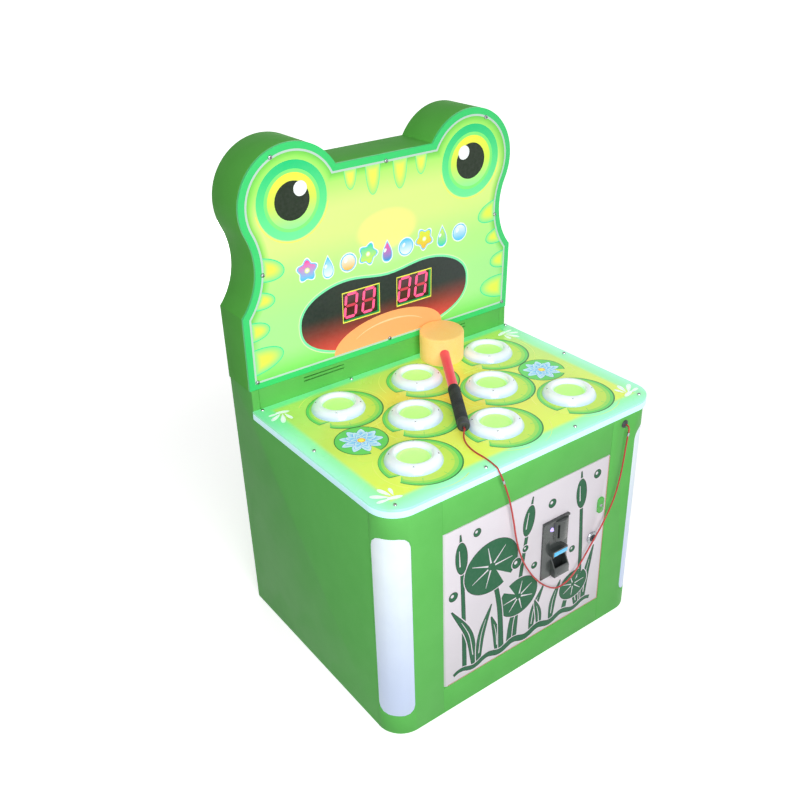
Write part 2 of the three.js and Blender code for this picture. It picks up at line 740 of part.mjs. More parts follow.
// Service door and what it carries
const door = new THREE.Group();
machine.add(door);
const [coinX, coinHeight] = onDoor(coinUnitPlaceShares);
const [lockX, lockHeight] = onDoor(lockPlaceShares);
const [latchX, latchHeight] = onDoor(latchPlaceShares);

const roundHole = (x, z, radius, y0, y1) => (
  prismBack(circle(x, z, radius, roundSides), y0, y1)
);
const serviceDoor = () => {
  const bullNose = arc(hingeX, boardThickness / 2, boardThickness / 2, 1.5 * Math.PI, Math.PI / 2,
    cornerSteps);
  const plan = [[doorHalfWidth, 0], [doorHalfWidth, boardThickness], ...bullNose.reverse()];
  const rodBore = circle(hingeX, boardThickness / 2, hingeRodRadius + hingeRodFit, smallSides);
  const leaf = prismUp(plan, doorBottomHeight + doorGap, doorTopHeight - doorGap, [rodBore]);
  return cut(
    leaf,
    prismBack(rectangle(coinX, coinHeight, coinBodyWidth + 2 * coinBodyFit,
      coinBodyHeight + 2 * coinBodyFit), -overrun, boardThickness + overrun),
    roundHole(lockX, lockHeight, lockBarrelRadius + lockFit, -overrun, boardThickness + overrun),
    roundHole(latchX, latchHeight, latchSpindleRadius + lockFit, -overrun, boardThickness + overrun),
  );
};
piece('service_door', serviceDoor(), white, door);
piece('door_hinge_rod', prismUp(
  circle(hingeX, boardThickness / 2, hingeRodRadius, smallSides),
  doorBottomHeight - hingeRodSeat + seamGap, doorTopHeight + hingeRodSeat - seamGap,
), steel);

const buttonX = coinX + buttonOffset;
const buttonCentreHeight = coinHeight - buttonDrop;
const cupX = coinX + returnCupOffset;
const cupHeight = coinHeight - returnCupDrop;
const flapAxisHeight = cupHeight + returnCupHeight / 2 - flapFit - flapPinRadius;
const flapY = flapSetback - coinPlateThickness;
const coinUnit = () => {
  const plateBackY = -seamGap;
  const plateY = plateBackY - coinPlateThickness;
  const top = coinHeight + coinUnitHeight / 2;
  const cupBottom = cupHeight - returnCupHeight / 2;
  const half = coinUnitWidth / 2;
  const bezelX = coinX + bezelOffset;
  const bezelTop = coinHeight + bezelRise + bezelHeight / 2;
  const bezelOutline = [
    [bezelX - bezelWidth / 2, plateY + coinPlateThickness / 2],
    ...arc(0, 0, 1, Math.PI, 2 * Math.PI, smallSides / 2).map(([u, v]) => [
      bezelX + u * bezelWidth / 2, plateY + v * (bezelReach - coinPlateThickness),
    ]),
    [bezelX + bezelWidth / 2, plateY + coinPlateThickness / 2],
  ];
  const plate = prismBack(rectangle(coinX, coinHeight, coinUnitWidth, coinUnitHeight), plateY, plateBackY);
  const body = prismBack(rectangle(coinX, coinHeight, coinBodyWidth, coinBodyHeight),
    plateY + coinPlateThickness / 2, coinBodyDepth);
  const visor = block(coinX - half, coinX + half, -visorReach, plateBackY - coinPlateThickness / 2,
    top - visorThickness, top);
  const bezel = prismUp(bezelOutline, bezelTop - bezelHeight, bezelTop);
  const hoodHeight = buttonCentreHeight + buttonHeight / 2 + buttonFit;
  const cheekX = buttonX - buttonWidth / 2 - buttonFit;
  const hood = block(cheekX - hoodThickness, buttonX + buttonWidth / 2,
    -buttonReach, plateY + coinPlateThickness / 2, hoodHeight, hoodHeight + hoodThickness);
  const cheek = block(cheekX - hoodThickness, cheekX, -buttonReach, plateY + coinPlateThickness / 2,
    hoodHeight - buttonHeight - 2 * buttonFit, hoodHeight + hoodThickness / 2);
  const scoop = prismAcross([
    [plateY + coinPlateThickness / 2, cupBottom - returnCupFloor],
    [-returnCupReach, cupBottom - returnCupFloor],
    [-returnCupReach, cupBottom + returnCupFront],
    [plateY + coinPlateThickness / 2, cupHeight + returnCupHeight / 2],
  ], cupX - returnCupWidth / 2 - returnCupWall, cupX + returnCupWidth / 2 + returnCupWall);
  const slot = prismBack(rectangle(coinX + slotOffset, coinHeight + bezelRise, slotWidth, slotHeight),
    -bezelReach - overrun, slotDepth);
  const buttonHole = prismBack(rectangle(buttonX, buttonCentreHeight, buttonWidth + 2 * buttonFit,
    buttonHeight + 2 * buttonFit), plateY - overrun, buttonDepth + buttonTravel + overrun);
  const cup = prismBack(rectangle(cupX, cupHeight, returnCupWidth, returnCupHeight),
    returnCupWall - returnCupReach, returnCupDepth);
  const pinHoleReach = returnCupWidth / 2 + flapPinReach;
  const pinHole = prismAcross(circle(flapY, flapAxisHeight, flapPinRadius + flapPinFit, smallSides),
    cupX - pinHoleReach, cupX + pinHoleReach);
  return cut(join(body, plate, visor, bezel, hood, cheek, scoop), slot, buttonHole, cup, pinHole);
};
piece('coin_acceptor', coinUnit(), black, door);
piece('coin_reject_button', prismBack(
  rectangle(buttonX, buttonCentreHeight, buttonWidth, buttonHeight), -buttonReach, buttonDepth,
), blue, door);
const returnFlap = () => {
  const halfFlap = returnCupWidth / 2 - flapFit;
  const pinReach = returnCupWidth / 2 + flapPinReach - flapPinFit;
  const bottom = cupHeight - returnCupHeight / 2 + flapFit;
  const leaf = block(cupX - halfFlap, cupX + halfFlap, flapY - flapThickness / 2,
    flapY + flapThickness / 2, bottom, flapAxisHeight);
  const pins = prismAcross(circle(flapY, flapAxisHeight, flapPinRadius, smallSides),
    cupX - pinReach, cupX + pinReach);
  return join(leaf, pins);
};
piece('coin_return_flap', returnFlap(), black, door);

const coinBox = () => {
  const [x0, x1] = [coinX - coinBoxWidth / 2, coinX + coinBoxWidth / 2];
  const y0 = boardThickness + coinBoxWall;
  const z0 = boardThickness + seamGap;
  const outside = block(x0, x1, y0, y0 + coinBoxDepth, z0, z0 + coinBoxHeight);
  const inside = block(x0 + coinBoxWall, x1 - coinBoxWall, y0 + coinBoxWall,
    y0 + coinBoxDepth - coinBoxWall, z0 + coinBoxWall, z0 + coinBoxHeight + overrun);
  return cut(outside, inside);
};
piece('coin_box', coinBox(), steel);

const lockHousing = turnedBack([
  [lockPlugRadius + lockFit, -seamGap - lockBezelThickness],
  [lockBezelRadius - lockBezelThickness / 2, -seamGap - lockBezelThickness],
  [lockBezelRadius, -seamGap - lockBezelThickness / 2], [lockBezelRadius, -seamGap],
  [lockBarrelRadius, -seamGap], [lockBarrelRadius, lockBarrelLength],
  [lockPlugRadius + lockFit, lockBarrelLength],
  [lockPlugRadius + lockFit, -seamGap - lockBezelThickness],
], roundSides).translate(lockX, 0, lockHeight);
piece('lock_housing', lockHousing, steel, door);
const lockPlug = () => {
  const frontY = -seamGap - lockBezelThickness - seamGap;
  const camY = lockBarrelLength + seamGap;
  const camLength = doorHalfWidth - lockX + camCatch;
  const plug = roundHole(lockX, lockHeight, lockPlugRadius, frontY, camY + camThickness / 2);
  const cam = block(lockX - camWidth / 2, lockX + camWidth / 2, camY, camY + camThickness,
    lockHeight - camLength, lockHeight + camWidth / 2);
  const keySlot = block(lockX - keySlotWidth / 2, lockX + keySlotWidth / 2, frontY - overrun,
    frontY + keySlotDepth, lockHeight - keySlotLength / 2, lockHeight + keySlotLength / 2);
  return cut(join(plug, cam), keySlot);
};
piece('lock_plug', lockPlug(), steel, door);

const turnLatch = () => {
  const [w, h, c] = [latchPlateWidth / 2, latchPlateLength / 2, latchCornerCut];
  const plateOutline = [
    [-w, -h + c], [-w + c, -h], [w - c, -h], [w, -h + c], [w, h - c], [w - c, h], [-w + c, h], [-w, h - c],
  ].map(([x, z]) => [latchX + x, latchHeight + z]);
  const plate = prismBack(plateOutline, -seamGap - latchPlateThickness, -seamGap);
  const spindle = prismBack(circle(latchX, latchHeight, latchSpindleRadius, smallSides),
    -seamGap - latchPlateThickness / 2, boardThickness + seamGap + latchBarThickness / 2);
  const reach = doorHalfWidth - latchX + latchCatch;
  const bar = block(latchX - latchBarWidth / 2, latchX + latchBarWidth / 2, boardThickness + seamGap,
    boardThickness + seamGap + latchBarThickness, latchHeight - reach, latchHeight + latchBarWidth / 2);
  return join(plate, spindle, bar);
};
piece('turn_latch', turnLatch(), brightGreen, door);

// Hammer: its head stands on the deck and the end of its grip rests on it, so it lies at a small tilt,
// and it passes beside the middle ring of the front row. In its own frame the shaft runs along -Y
// from the centre of the head.
const hammer = new THREE.Group();
machine.add(hammer);
const hammerX = hammerPlaceShare * outerPlaceShares[2] * 2 * deckHalfWidth;
const hammerY = faceY - hammerHeadRadius - hammerBackClearance;
const hammerTilt = Math.atan2(hammerHeadHeight / 2 - hammerGripRadius, hammerReach - hammerHeadRadius);
hammer.position.set(hammerX, hammerY, deckTopHeight + seamGap
  + hammerHeadRadius * Math.sin(hammerTilt) + hammerHeadHeight / 2 * Math.cos(hammerTilt));
const fromFrontRing = Math.hypot(hammerX, hammerY - frontRowY);
const hammerHeading = Math.atan2(hammerX, hammerY - frontRowY)
  + Math.asin((ringRadius + hammerOutsideRing) / fromFrontRing);
hammer.rotation.set(hammerTilt, 0, -hammerHeading, 'ZYX');
const shaftBore = hammerShaftRadius + seamGap;
const alongShaft = (profile, sides) => (
  turnedBack(profile.map(([r, reach]) => [r, -reach]).reverse(), sides)
);
const hammerHead = () => {
  const [r, h, round] = [hammerHeadRadius, hammerHeadHeight / 2, hammerHeadRound];
  const drum = turned([[0, -h], [r - round, -h], [r, -h + round], [r, h - round], [r - round, h], [0, h]],
    hammerSides);
  const bore = alongShaft([[0, -hammerShaftSeat - seamGap], [shaftBore, -hammerShaftSeat - seamGap],
    [shaftBore, r + overrun], [0, r + overrun]], roundSides);
  return cut(drum, bore);
};
piece('hammer_head', hammerHead(), amber, hammer);
const gripStart = hammerReach - hammerGripLength;
const shaftEnd = hammerReach - hammerGripEnd - seamGap;
piece('hammer_shaft', alongShaft([
  [0, -hammerShaftSeat], [hammerShaftRadius, -hammerShaftSeat],
  [hammerShaftRadius, shaftEnd], [0, shaftEnd],
], roundSides), red, hammer);
piece('hammer_grip', alongShaft([
  [shaftBore, gripStart], [hammerGripRadius - hammerGripRound, gripStart],
  [hammerGripRadius, gripStart + hammerGripRound], [hammerGripRadius, hammerReach - hammerGripRound],
  [hammerGripRadius - hammerGripRound, hammerReach], [0, hammerReach],
  [0, hammerReach - hammerGripEnd], [shaftBore, hammerReach - hammerGripEnd], [shaftBore, gripStart],
], roundSides), black, hammer);

// Tether and its anchor
const anchorNoseY = -anchorNoseReach;
piece('tether_anchor', turnedBack([
  [0, anchorNoseY], [anchorNoseRadius, anchorNoseY],
  [anchorFlangeRadius, -seamGap - anchorFlangeThickness / 2],
  [anchorFlangeRadius, -seamGap], [anchorBarrelRadius, -seamGap],
  [anchorBarrelRadius, boardThickness + anchorTail], [0, boardThickness + anchorTail],
], smallSides).translate(anchorX, 0, anchorHeight), black);
const tetherPath = new THREE.CatmullRomCurve3(tetherRoute.map((point) => new THREE.Vector3(...point)));
// Steps fall evenly between the route's points, so they are closer where the tether bends
tetherPath.getUtoTmapping = (share) => share;
piece('tether_cord', new THREE.ExtrudeGeometry(
  shapeOf(circle(0, 0, tetherDiameter / 2, tetherSides)),
  { steps: tetherStepsPerPoint * (tetherRoute.length - 1), bevelEnabled: false, extrudePath: tetherPath },
), red);

export default machine;
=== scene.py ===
import json
from math import acos, asin, atan, atan2, cos, exp, hypot, pi, radians, sin, sqrt, tau

import bmesh
import bpy
from mathutils import Matrix, Vector


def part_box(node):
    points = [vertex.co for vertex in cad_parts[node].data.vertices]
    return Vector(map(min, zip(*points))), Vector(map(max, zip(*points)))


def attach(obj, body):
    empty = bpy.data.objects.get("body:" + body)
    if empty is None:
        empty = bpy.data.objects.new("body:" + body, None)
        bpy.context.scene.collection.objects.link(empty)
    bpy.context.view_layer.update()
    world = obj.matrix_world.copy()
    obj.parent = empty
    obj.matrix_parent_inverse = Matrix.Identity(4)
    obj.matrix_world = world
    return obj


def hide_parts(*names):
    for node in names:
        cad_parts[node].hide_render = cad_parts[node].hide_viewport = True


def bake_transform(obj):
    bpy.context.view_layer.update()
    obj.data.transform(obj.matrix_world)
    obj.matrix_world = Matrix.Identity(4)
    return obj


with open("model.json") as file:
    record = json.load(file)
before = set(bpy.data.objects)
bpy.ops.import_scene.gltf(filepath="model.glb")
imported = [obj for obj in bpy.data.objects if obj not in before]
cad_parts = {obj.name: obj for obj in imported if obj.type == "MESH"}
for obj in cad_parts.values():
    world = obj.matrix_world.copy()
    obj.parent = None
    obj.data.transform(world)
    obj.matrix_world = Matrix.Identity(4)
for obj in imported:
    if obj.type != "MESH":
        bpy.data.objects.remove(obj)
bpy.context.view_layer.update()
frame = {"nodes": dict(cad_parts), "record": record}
nodes = frame["nodes"]
print("frame loaded:", len(nodes), "nodes")

# camera, where the photograph was taken from

camera = {
    "place": (-0.9438, -1.1801, 1.3080),
    "heading": 35.51,   # degrees from straight back towards the right
    "down": 28.62,
    "roll": -1.86,
    "lens": 41.3,       # on a 36 mm sensor
    "sees": (0.05, 50),
}


def addObject(name, data):
    made = bpy.data.objects.new(name, data)
    bpy.context.scene.collection.objects.link(made)
    return made


def addCamera():
    heading, down, roll = (radians(camera[key]) for key in ("heading", "down", "roll"))
    ahead = Vector((sin(heading) * cos(down), cos(heading) * cos(down), -sin(down)))
    aside = Vector((cos(heading), -sin(heading), 0))
    raised = aside.cross(ahead)
    right = aside * cos(roll) + raised * sin(roll)
    up = raised * cos(roll) - aside * sin(roll)
    data = bpy.data.cameras.new("camera")
    data.lens = camera["lens"]
    data.clip_start, data.clip_end = camera["sees"]
    seer = addObject("camera", data)
    turn = Matrix((right, up, -ahead)).transposed().to_4x4()
    seer.matrix_world = Matrix.Translation(camera["place"]) @ turn
    bpy.context.scene.camera = seer


addCamera()

# colours, nodes and the node groups that several finishes share


def ink(code):
    # a colour as it is written on a screen, as Blender's own light values
    shares = [int(code[i:i + 2], 16) / 255 for i in (0, 2, 4)]
    return tuple(s / 12.92 if s <= 0.04045 else ((s + 0.055) / 1.055) ** 2.4 for s in shares) + (1.0,)


def feed(tree, socket, value):
    if isinstance(value, bpy.types.NodeSocket):
        tree.links.new(value, socket)
    else:
        socket.default_value = value


def addNode(tree, kind, inputs=None, **settings):
    made = tree.nodes.new(kind)
    for key, value in settings.items():
        setattr(made, key, value)
    for key, value in (inputs or {}).items():
        feed(tree, made.inputs[key], value)
    return made


def calc(tree, operation, a, b=0.0):
    return addNode(tree, "ShaderNodeMath", {0: a, 1: b}, operation=operation).outputs[0]


def blendColour(tree, share, first, second):
    return addNode(tree, "ShaderNodeMix", {0: share, 6: first, 7: second}, data_type="RGBA").outputs[2]


def ramp(tree, value, low, high, start=0.0, end=1.0):
    # value from low to high becomes start to end, smoothly
    return addNode(tree, "ShaderNodeMapRange", {
        "Value": value, "From Min": low, "From Max": high, "To Min": start, "To Max": end,
    }, interpolation_type="SMOOTHSTEP").outputs["Result"]


def noise(tree, place, scale, detail, distortion=0.0):
    return addNode(tree, "ShaderNodeTexNoise", {
        "Vector": place, "Scale": scale, "Detail": detail, "Distortion": distortion}).outputs["Fac"]


def axisOf(tree, place, axis):
    return addNode(tree, "ShaderNodeSeparateXYZ", {0: place}).outputs[axis]


def newTree(name, kind, inputs, outputs):
    # inputs and outputs are the sockets' names with the kind of each
    group = bpy.data.node_groups.new(name, kind)
    for way, sockets in (("INPUT", inputs), ("OUTPUT", outputs)):
        for label, socket in sockets.items():
            group.interface.new_socket(label, in_out=way, socket_type="NodeSocket" + socket)
    return group, group.nodes.new("NodeGroupInput").outputs, group.nodes.new("NodeGroupOutput").inputs


def makeSpeckle():
    # a fine grain with broader clouds, both as a tint and as a height
    group, given, result = newTree("speckle", "ShaderNodeTree", {
        "Vector": "Vector", "Colour": "Color", "Tint": "Color", "Scale": "Float", "Amount": "Float",
    }, {"Colour": "Color", "Height": "Float"})
    fine = noise(group, given["Vector"], given["Scale"], 4.0)
    broad = noise(group, given["Vector"], calc(group, "MULTIPLY", given["Scale"], 0.03), 2.0)
    share = calc(group, "ADD", calc(group, "MULTIPLY", fine, 0.45), calc(group, "MULTIPLY", broad, 0.55))
    strength = calc(group, "MULTIPLY", ramp(group, share, 0.35, 0.65), given["Amount"])
    feed(group, result["Colour"], blendColour(group, strength, given["Colour"], given["Tint"]))
    feed(group, result["Height"], fine)
    return group


def makeHandMarks():
    # clouds where hands have dulled a gloss
    group, given, result = newTree("handMarks", "ShaderNodeTree", {
        "Vector": "Vector", "Scale": "Float", "Clean": "Float", "Rubbed": "Float"}, {"Roughness": "Float"})
    cloud = noise(group, given["Vector"], given["Scale"], 5.0, 0.6)
    feed(group, result["Roughness"], ramp(group, cloud, 0.42, 0.66, given["Clean"], given["Rubbed"]))
    return group


def makeRoundPatch():
    # 1 in the middle of an oval patch, 0 outside it
    group, given, result = newTree("roundPatch", "ShaderNodeTree", {
        "Vector": "Vector", "Centre": "Vector", "Size": "Vector", "Inside": "Float", "Outside": "Float",
    }, {"Mask": "Float"})
    away = given["Vector"]
    for operation, label in (("SUBTRACT", "Centre"), ("DIVIDE", "Size")):
        step = addNode(group, "ShaderNodeVectorMath", {0: away, 1: given[label]}, operation=operation)
        away = step.outputs[0]
    length = addNode(group, "ShaderNodeVectorMath", {0: away}, operation="LENGTH").outputs["Value"]
    feed(group, result["Mask"], ramp(group, length, given["Inside"], given["Outside"], 1.0, 0.0))
    return group


speckle, handMarks, roundPatch = makeSpeckle(), makeHandMarks(), makeRoundPatch()


def placeGroup(tree, group, inputs):
    made = tree.nodes.new("ShaderNodeGroup")
    made.node_tree = group
    for key, value in inputs.items():
        feed(tree, made.inputs[key], value)
    return made.outputs


def newFinish(name):
    made = bpy.data.materials.new(name)
    made.use_nodes = True
    tree = made.node_tree
    shader = next(n for n in tree.nodes if n.type == "BSDF_PRINCIPLED")
    return made, tree, shader, addNode(tree, "ShaderNodeTexCoord").outputs["Object"]


def coated(name, code, tint, rough, scale, amount, bump, rubbed=None, metal=0.0, coat=0.0, glow=0.0,
           marks=14.0, shine=0.5, picture=None):
    # one base for every finish: scale, amount and bump are its grain's, and a picture paints over the colour
    made, tree, shader, place = newFinish(name)
    grain = placeGroup(tree, speckle, {
        "Vector": place, "Colour": picture(tree, place) if picture else ink(code), "Tint": ink(tint),
        "Scale": scale, "Amount": amount})
    worn = placeGroup(tree, handMarks, {
        "Vector": place, "Scale": marks, "Clean": rough, "Rubbed": rubbed or rough * 1.35})
    relief = addNode(tree, "ShaderNodeBump", {
        "Height": grain["Height"], "Strength": bump, "Distance": 0.0004})
    looks = {
        "Base Color": grain["Colour"], "Roughness": worn["Roughness"], "Normal": relief.outputs["Normal"],
        "Metallic": metal, "Specular IOR Level": shine, "Coat Weight": coat, "Coat Roughness": 0.08}
    if glow:
        looks |= {"Emission Color": grain["Colour"], "Emission Strength": glow}
    for key, value in looks.items():
        feed(tree, shader.inputs[key], value)
    return made


print("node groups ready")

# finishes: name, colour, tint of the grain, roughness, then the grain's scale, amount and bump


def lensPicture(tree, place):
    # the lamp behind a corner window is bluish white, and more violet low down
    low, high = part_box("right_corner_lens")
    height = ramp(tree, axisOf(tree, place, "Z"), low.z, high.z)
    return blendColour(tree, height, ink("bcc9e6"), ink("dae5e8"))


def ringShadePicture(tree, place):
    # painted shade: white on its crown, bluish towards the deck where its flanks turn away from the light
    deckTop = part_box("deck_panel")[1].z
    height = ramp(tree, axisOf(tree, place, "Z"), deckTop + 0.001, deckTop + 0.013)
    return blendColour(tree, height, ink("b2cdf2"), ink("f0f8fe"))


finishes = {key: coated(*row, **more) for key, row, more in (
    ("cabinet", ("cabinetGreen", "68c55f", "74d06b", 0.45, 700, 0.35, 0.08), {"rubbed": 0.5, "shine": 0.1}),
    ("headSide", ("headGreen", "66c852", "70d25c", 0.5, 700, 0.4, 0.08), {"rubbed": 0.55, "shine": 0.05}),
    ("bareBoard", ("bareBoard", "b99a6b", "8d6f45", 0.75, 900, 0.8, 0.4), {}),
    ("doorWhite", ("doorWhite", "efe9f0", "e4dee7", 0.4, 500, 0.3, 0.05), {"shine": 0.2}),
    ("faceEdge", ("faceEdge", "3bd574", "4ce084", 0.3, 300, 0.25, 0.03),
     {"coat": 0.1, "glow": 0.15, "shine": 0.3}),
    ("litEdge", ("litEdge", "cdf5fb", "b9ebf7", 0.3, 90, 0.5, 0.03),
     {"coat": 0.1, "glow": 0.4, "shine": 0.3}),
    ("lens", ("lensWhite", "ffffff", "b9c6d8", 0.3, 30, 0.25, 0.01),
     {"coat": 0.1, "glow": 0.36, "shine": 0.3, "picture": lensPicture}),
    ("ring", ("ringWhite", "ffffff", "dbe6fa", 0.2, 60, 0.25, 0.02),
     {"coat": 0.4, "glow": 0.24, "picture": ringShadePicture}),
    ("copper", ("coilCopper", "b9683a", "d98a55", 0.3, 400, 0.5, 0.1), {"metal": 0.8}),
    ("coilBlack", ("coilBobbin", "1c1d20", "2a2b2f", 0.5, 500, 0.3, 0.12), {}),
    # painted light: the moles glow, though they hold no lamp
    ("moleGreen", ("moleGreen", "bcf688", "ccff9c", 0.4, 260, 0.4, 0.1), {"glow": 0.42, "shine": 0.3}),
    ("blackPlastic", ("blackPlastic", "303336", "45494d", 0.42, 1100, 0.5, 0.5), {}),
    ("coinGrey", ("coinUnitGrey", "2c3231", "404644", 0.25, 1300, 0.5, 0.3), {"coat": 0.5}),
    ("coinDark", ("coinUnitDark", "26292a", "3a3e40", 0.3, 1200, 0.4, 0.3), {}),
    # painted light: the reject button glows, though it holds no lamp
    ("buttonBlue", ("buttonBlue", "35b4ec", "5fd0ff", 0.15, 150, 0.4, 0.02), {"coat": 0.6, "glow": 0.25}),
    ("zinc", ("zincSteel", "b9bec4", "d5d9dd", 0.28, 160, 0.6, 0.05), {"metal": 1.0}),
    ("chrome", ("lockChrome", "9da0a6", "c3c6cb", 0.12, 500, 0.3, 0.02), {"rubbed": 0.22, "metal": 1.0}),
    ("lockCore", ("lockCore", "34363a", "505358", 0.16, 300, 0.4, 0.02), {"metal": 1.0}),
    ("latchGreen", ("latchGreen", "58bc52", "74cf6a", 0.25, 300, 0.3, 0.05), {"coat": 0.2, "shine": 0.3}),
    ("screw", ("screwSteel", "a8abb0", "c8cbd0", 0.22, 900, 0.6, 0.1), {"metal": 1.0}),
    # painted shade: a dark cross stands in for the shadow in each screw's cross recess
    ("recess", ("screwRecessShade", "2a2022", "1a1416", 0.6, 900, 0.3, 0.12), {}),
    # painted light: the foam head glows, though it holds no lamp, so that it reads brighter
    ("foam", ("hammerFoam", "ffce76", "ffdc9a", 0.62, 520, 0.5, 0.35), {"marks": 30, "glow": 0.24}),
    # painted light: the red shaft glows, though it holds no lamp
    ("sleeve", ("hammerRed", "fa4a64", "ff6a80", 0.3, 420, 0.35, 0.1),
     {"coat": 0.1, "glow": 0.22, "shine": 0.3}),
    ("grip", ("gripFoam", "222528", "3a3f45", 0.68, 1500, 0.6, 0.8), {"marks": 40}),
    ("cord", ("cordRed", "bc2a2e", "d8463f", 0.35, 900, 0.5, 0.1), {"coat": 0.1}),
    ("boardGreen", ("circuitGreen", "1f6b34", "2f8046", 0.4, 500, 0.6, 0.2), {"coat": 0.2}),
    ("whiteBoard", ("whiteFoamBoard", "f1f1ee", "e2e2dd", 0.6, 400, 0.4, 0.12), {}),
    ("displayBlack", ("displayTint", "4a1620", "3a0f18", 0.2, 200, 0.4, 0.01), {"coat": 0.3, "glow": 0.15}),
    ("lamp", ("coinLamp", "b9a4ff", "d9ccff", 0.15, 200, 0.3, 0.0), {"coat": 0.5, "glow": 0.8}),
)}
print("finishes ready:", len(finishes))

# mesh helpers


def smoothed(mesh, angle=32):
    mesh.shade_smooth()
    mesh.set_sharp_from_angle(angle=radians(angle))
    return mesh


def meshOf(shape, name, angle=32):
    mesh = bpy.data.meshes.new(name)
    shape.to_mesh(mesh)
    shape.free()
    return smoothed(mesh, angle)


def addPiece(name, mesh, finish, body=None, stands=()):
    piece = addObject(name, mesh)
    for one in finish if isinstance(finish, list) else [finish]:
        mesh.materials.append(one)
    if body:
        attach(piece, body)
    if stands:
        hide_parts(*stands)
    return piece


def bodyOf(node):
    return next(b for b, held in frame["record"]["behaviour"]["bodies"].items() if node in held)


def standIn(node, shape, finish, angle=32):
    # a piece in the place of one node, with that node's body
    first, *rest = node.split("_")
    name = first + "".join(word.capitalize() for word in rest)
    return addPiece(name, meshOf(shape, name, angle), finish, bodyOf(node), [node])


def dressed(node, finish, bevel=0.0007, segments=2, angle=30):
    # a copy of a solid with its doubles merged, its flat faces joined and its edges eased
    shape = bmesh.new()
    shape.from_mesh(nodes[node].data)
    bmesh.ops.remove_doubles(shape, verts=shape.verts, dist=1e-6)
    bmesh.ops.dissolve_limit(shape, angle_limit=radians(0.6), verts=shape.verts, edges=shape.edges)
    if bevel:
        sharp = [e for e in shape.edges if len(e.link_faces) == 2 and e.calc_face_angle() > radians(angle)]
        bmesh.ops.bevel(shape, geom=sharp, offset=bevel, segments=segments, profile=0.5, affect="EDGES",
                        clamp_overlap=True)
    return standIn(node, shape, finish)


def turned(points, x, y, turn):
    # flat points turned about the origin, then moved to (x, y)
    return [(x + u * cos(turn) - v * sin(turn), y + u * sin(turn) + v * cos(turn)) for u, v in points]


def oval(x, y, rx, ry=None, turn=0.0, steps=56):
    ry = rx if ry is None else ry
    angles = [tau * i / steps for i in range(steps)]
    return turned([(rx * cos(a), ry * sin(a)) for a in angles], x, y, turn)


def arc(x, y, radius, start, sweep, steps, ry=None):
    angles = [start + sweep * i / steps for i in range(steps + 1)]
    return [(x + radius * cos(a), y + (ry or radius) * sin(a)) for a in angles]


def upright(loop, y):
    return [(x, y, z) for x, z in loop]


def level(loop, z):
    return [(x, y, z) for x, y in loop]


def walls(shape, rows):
    # faces between closed rows of corners, where a row of one corner is a pole
    faces = []
    for low, high in zip(rows, rows[1:]):
        sides = max(len(low), len(high))
        for i in range(sides):
            j = (i + 1) % sides
            corners = [low[i % len(low)], low[j % len(low)], high[j % len(high)], high[i % len(high)]]
            single = [v for n, v in enumerate(corners) if v not in corners[:n]]
            if len(single) > 2:
                faces.append(shape.faces.new(single))
    return faces


def addRow(shape, loop):
    return [shape.verts.new(point) for point in loop]


def turnedShape(shape, profile, sides, place, finish=0):
    # a profile of (radius, height) turned about Z, then put in place by a matrix
    rows = []
    for radius, height in profile:
        loop = oval(0, 0, radius, steps=sides) if radius > 1e-7 else [(0, 0)]
        rows.append(addRow(shape, level(loop, height)))
    faces = walls(shape, rows)
    for face in faces:
        face.material_index = finish
    bmesh.ops.recalc_face_normals(shape, faces=faces)
    bmesh.ops.transform(shape, matrix=place, verts=[v for row in rows for v in row])


def softCorner(profile, radius, steps=4):
    # rounds each inner corner of a profile with a small arc
    points = [Vector(p) for p in profile]
    soft = [points[0]]
    for before, corner, after in zip(points, points[1:], points[2:]):
        reach = min(radius, (before - corner).length / 2, (after - corner).length / 2)
        start = corner + (before - corner).normalized() * reach
        end = corner + (after - corner).normalized() * reach
        for i in range(steps + 1):
            t = i / steps
            soft.append(start * (1 - t) ** 2 + corner * 2 * t * (1 - t) + end * t ** 2)
    soft.append(points[-1])
    return [tuple(p) for p in soft]


def easedLevels(start, end, ease):
    # how far an outline is drawn in at each level of a slab whose edges are rounded
    first = [(ease * (1 - sin(a)), start + ease * (1 - cos(a))) for a in (i * pi / 6 for i in range(4))]
    return first + [(inset, start + end - at) for inset, at in reversed(first)]


def lofted(loops, holes):
    # walls between loops of the same count, and flat ends with the holes left open
    shape = bmesh.new()
    tubes = [[addRow(shape, loop) for loop in rows] for rows in (loops, *holes)]
    for tube in tubes:
        walls(shape, tube)
    for end in (0, -1):
        rims = [tube[end] for tube in tubes]
        edges = [shape.edges.get((rim[i - 1], rim[i])) for rim in rims for i in range(len(rim))]
        bmesh.ops.triangle_fill(shape, use_beauty=True, edges=edges)
    bmesh.ops.recalc_face_normals(shape, faces=shape.faces)
    return shape
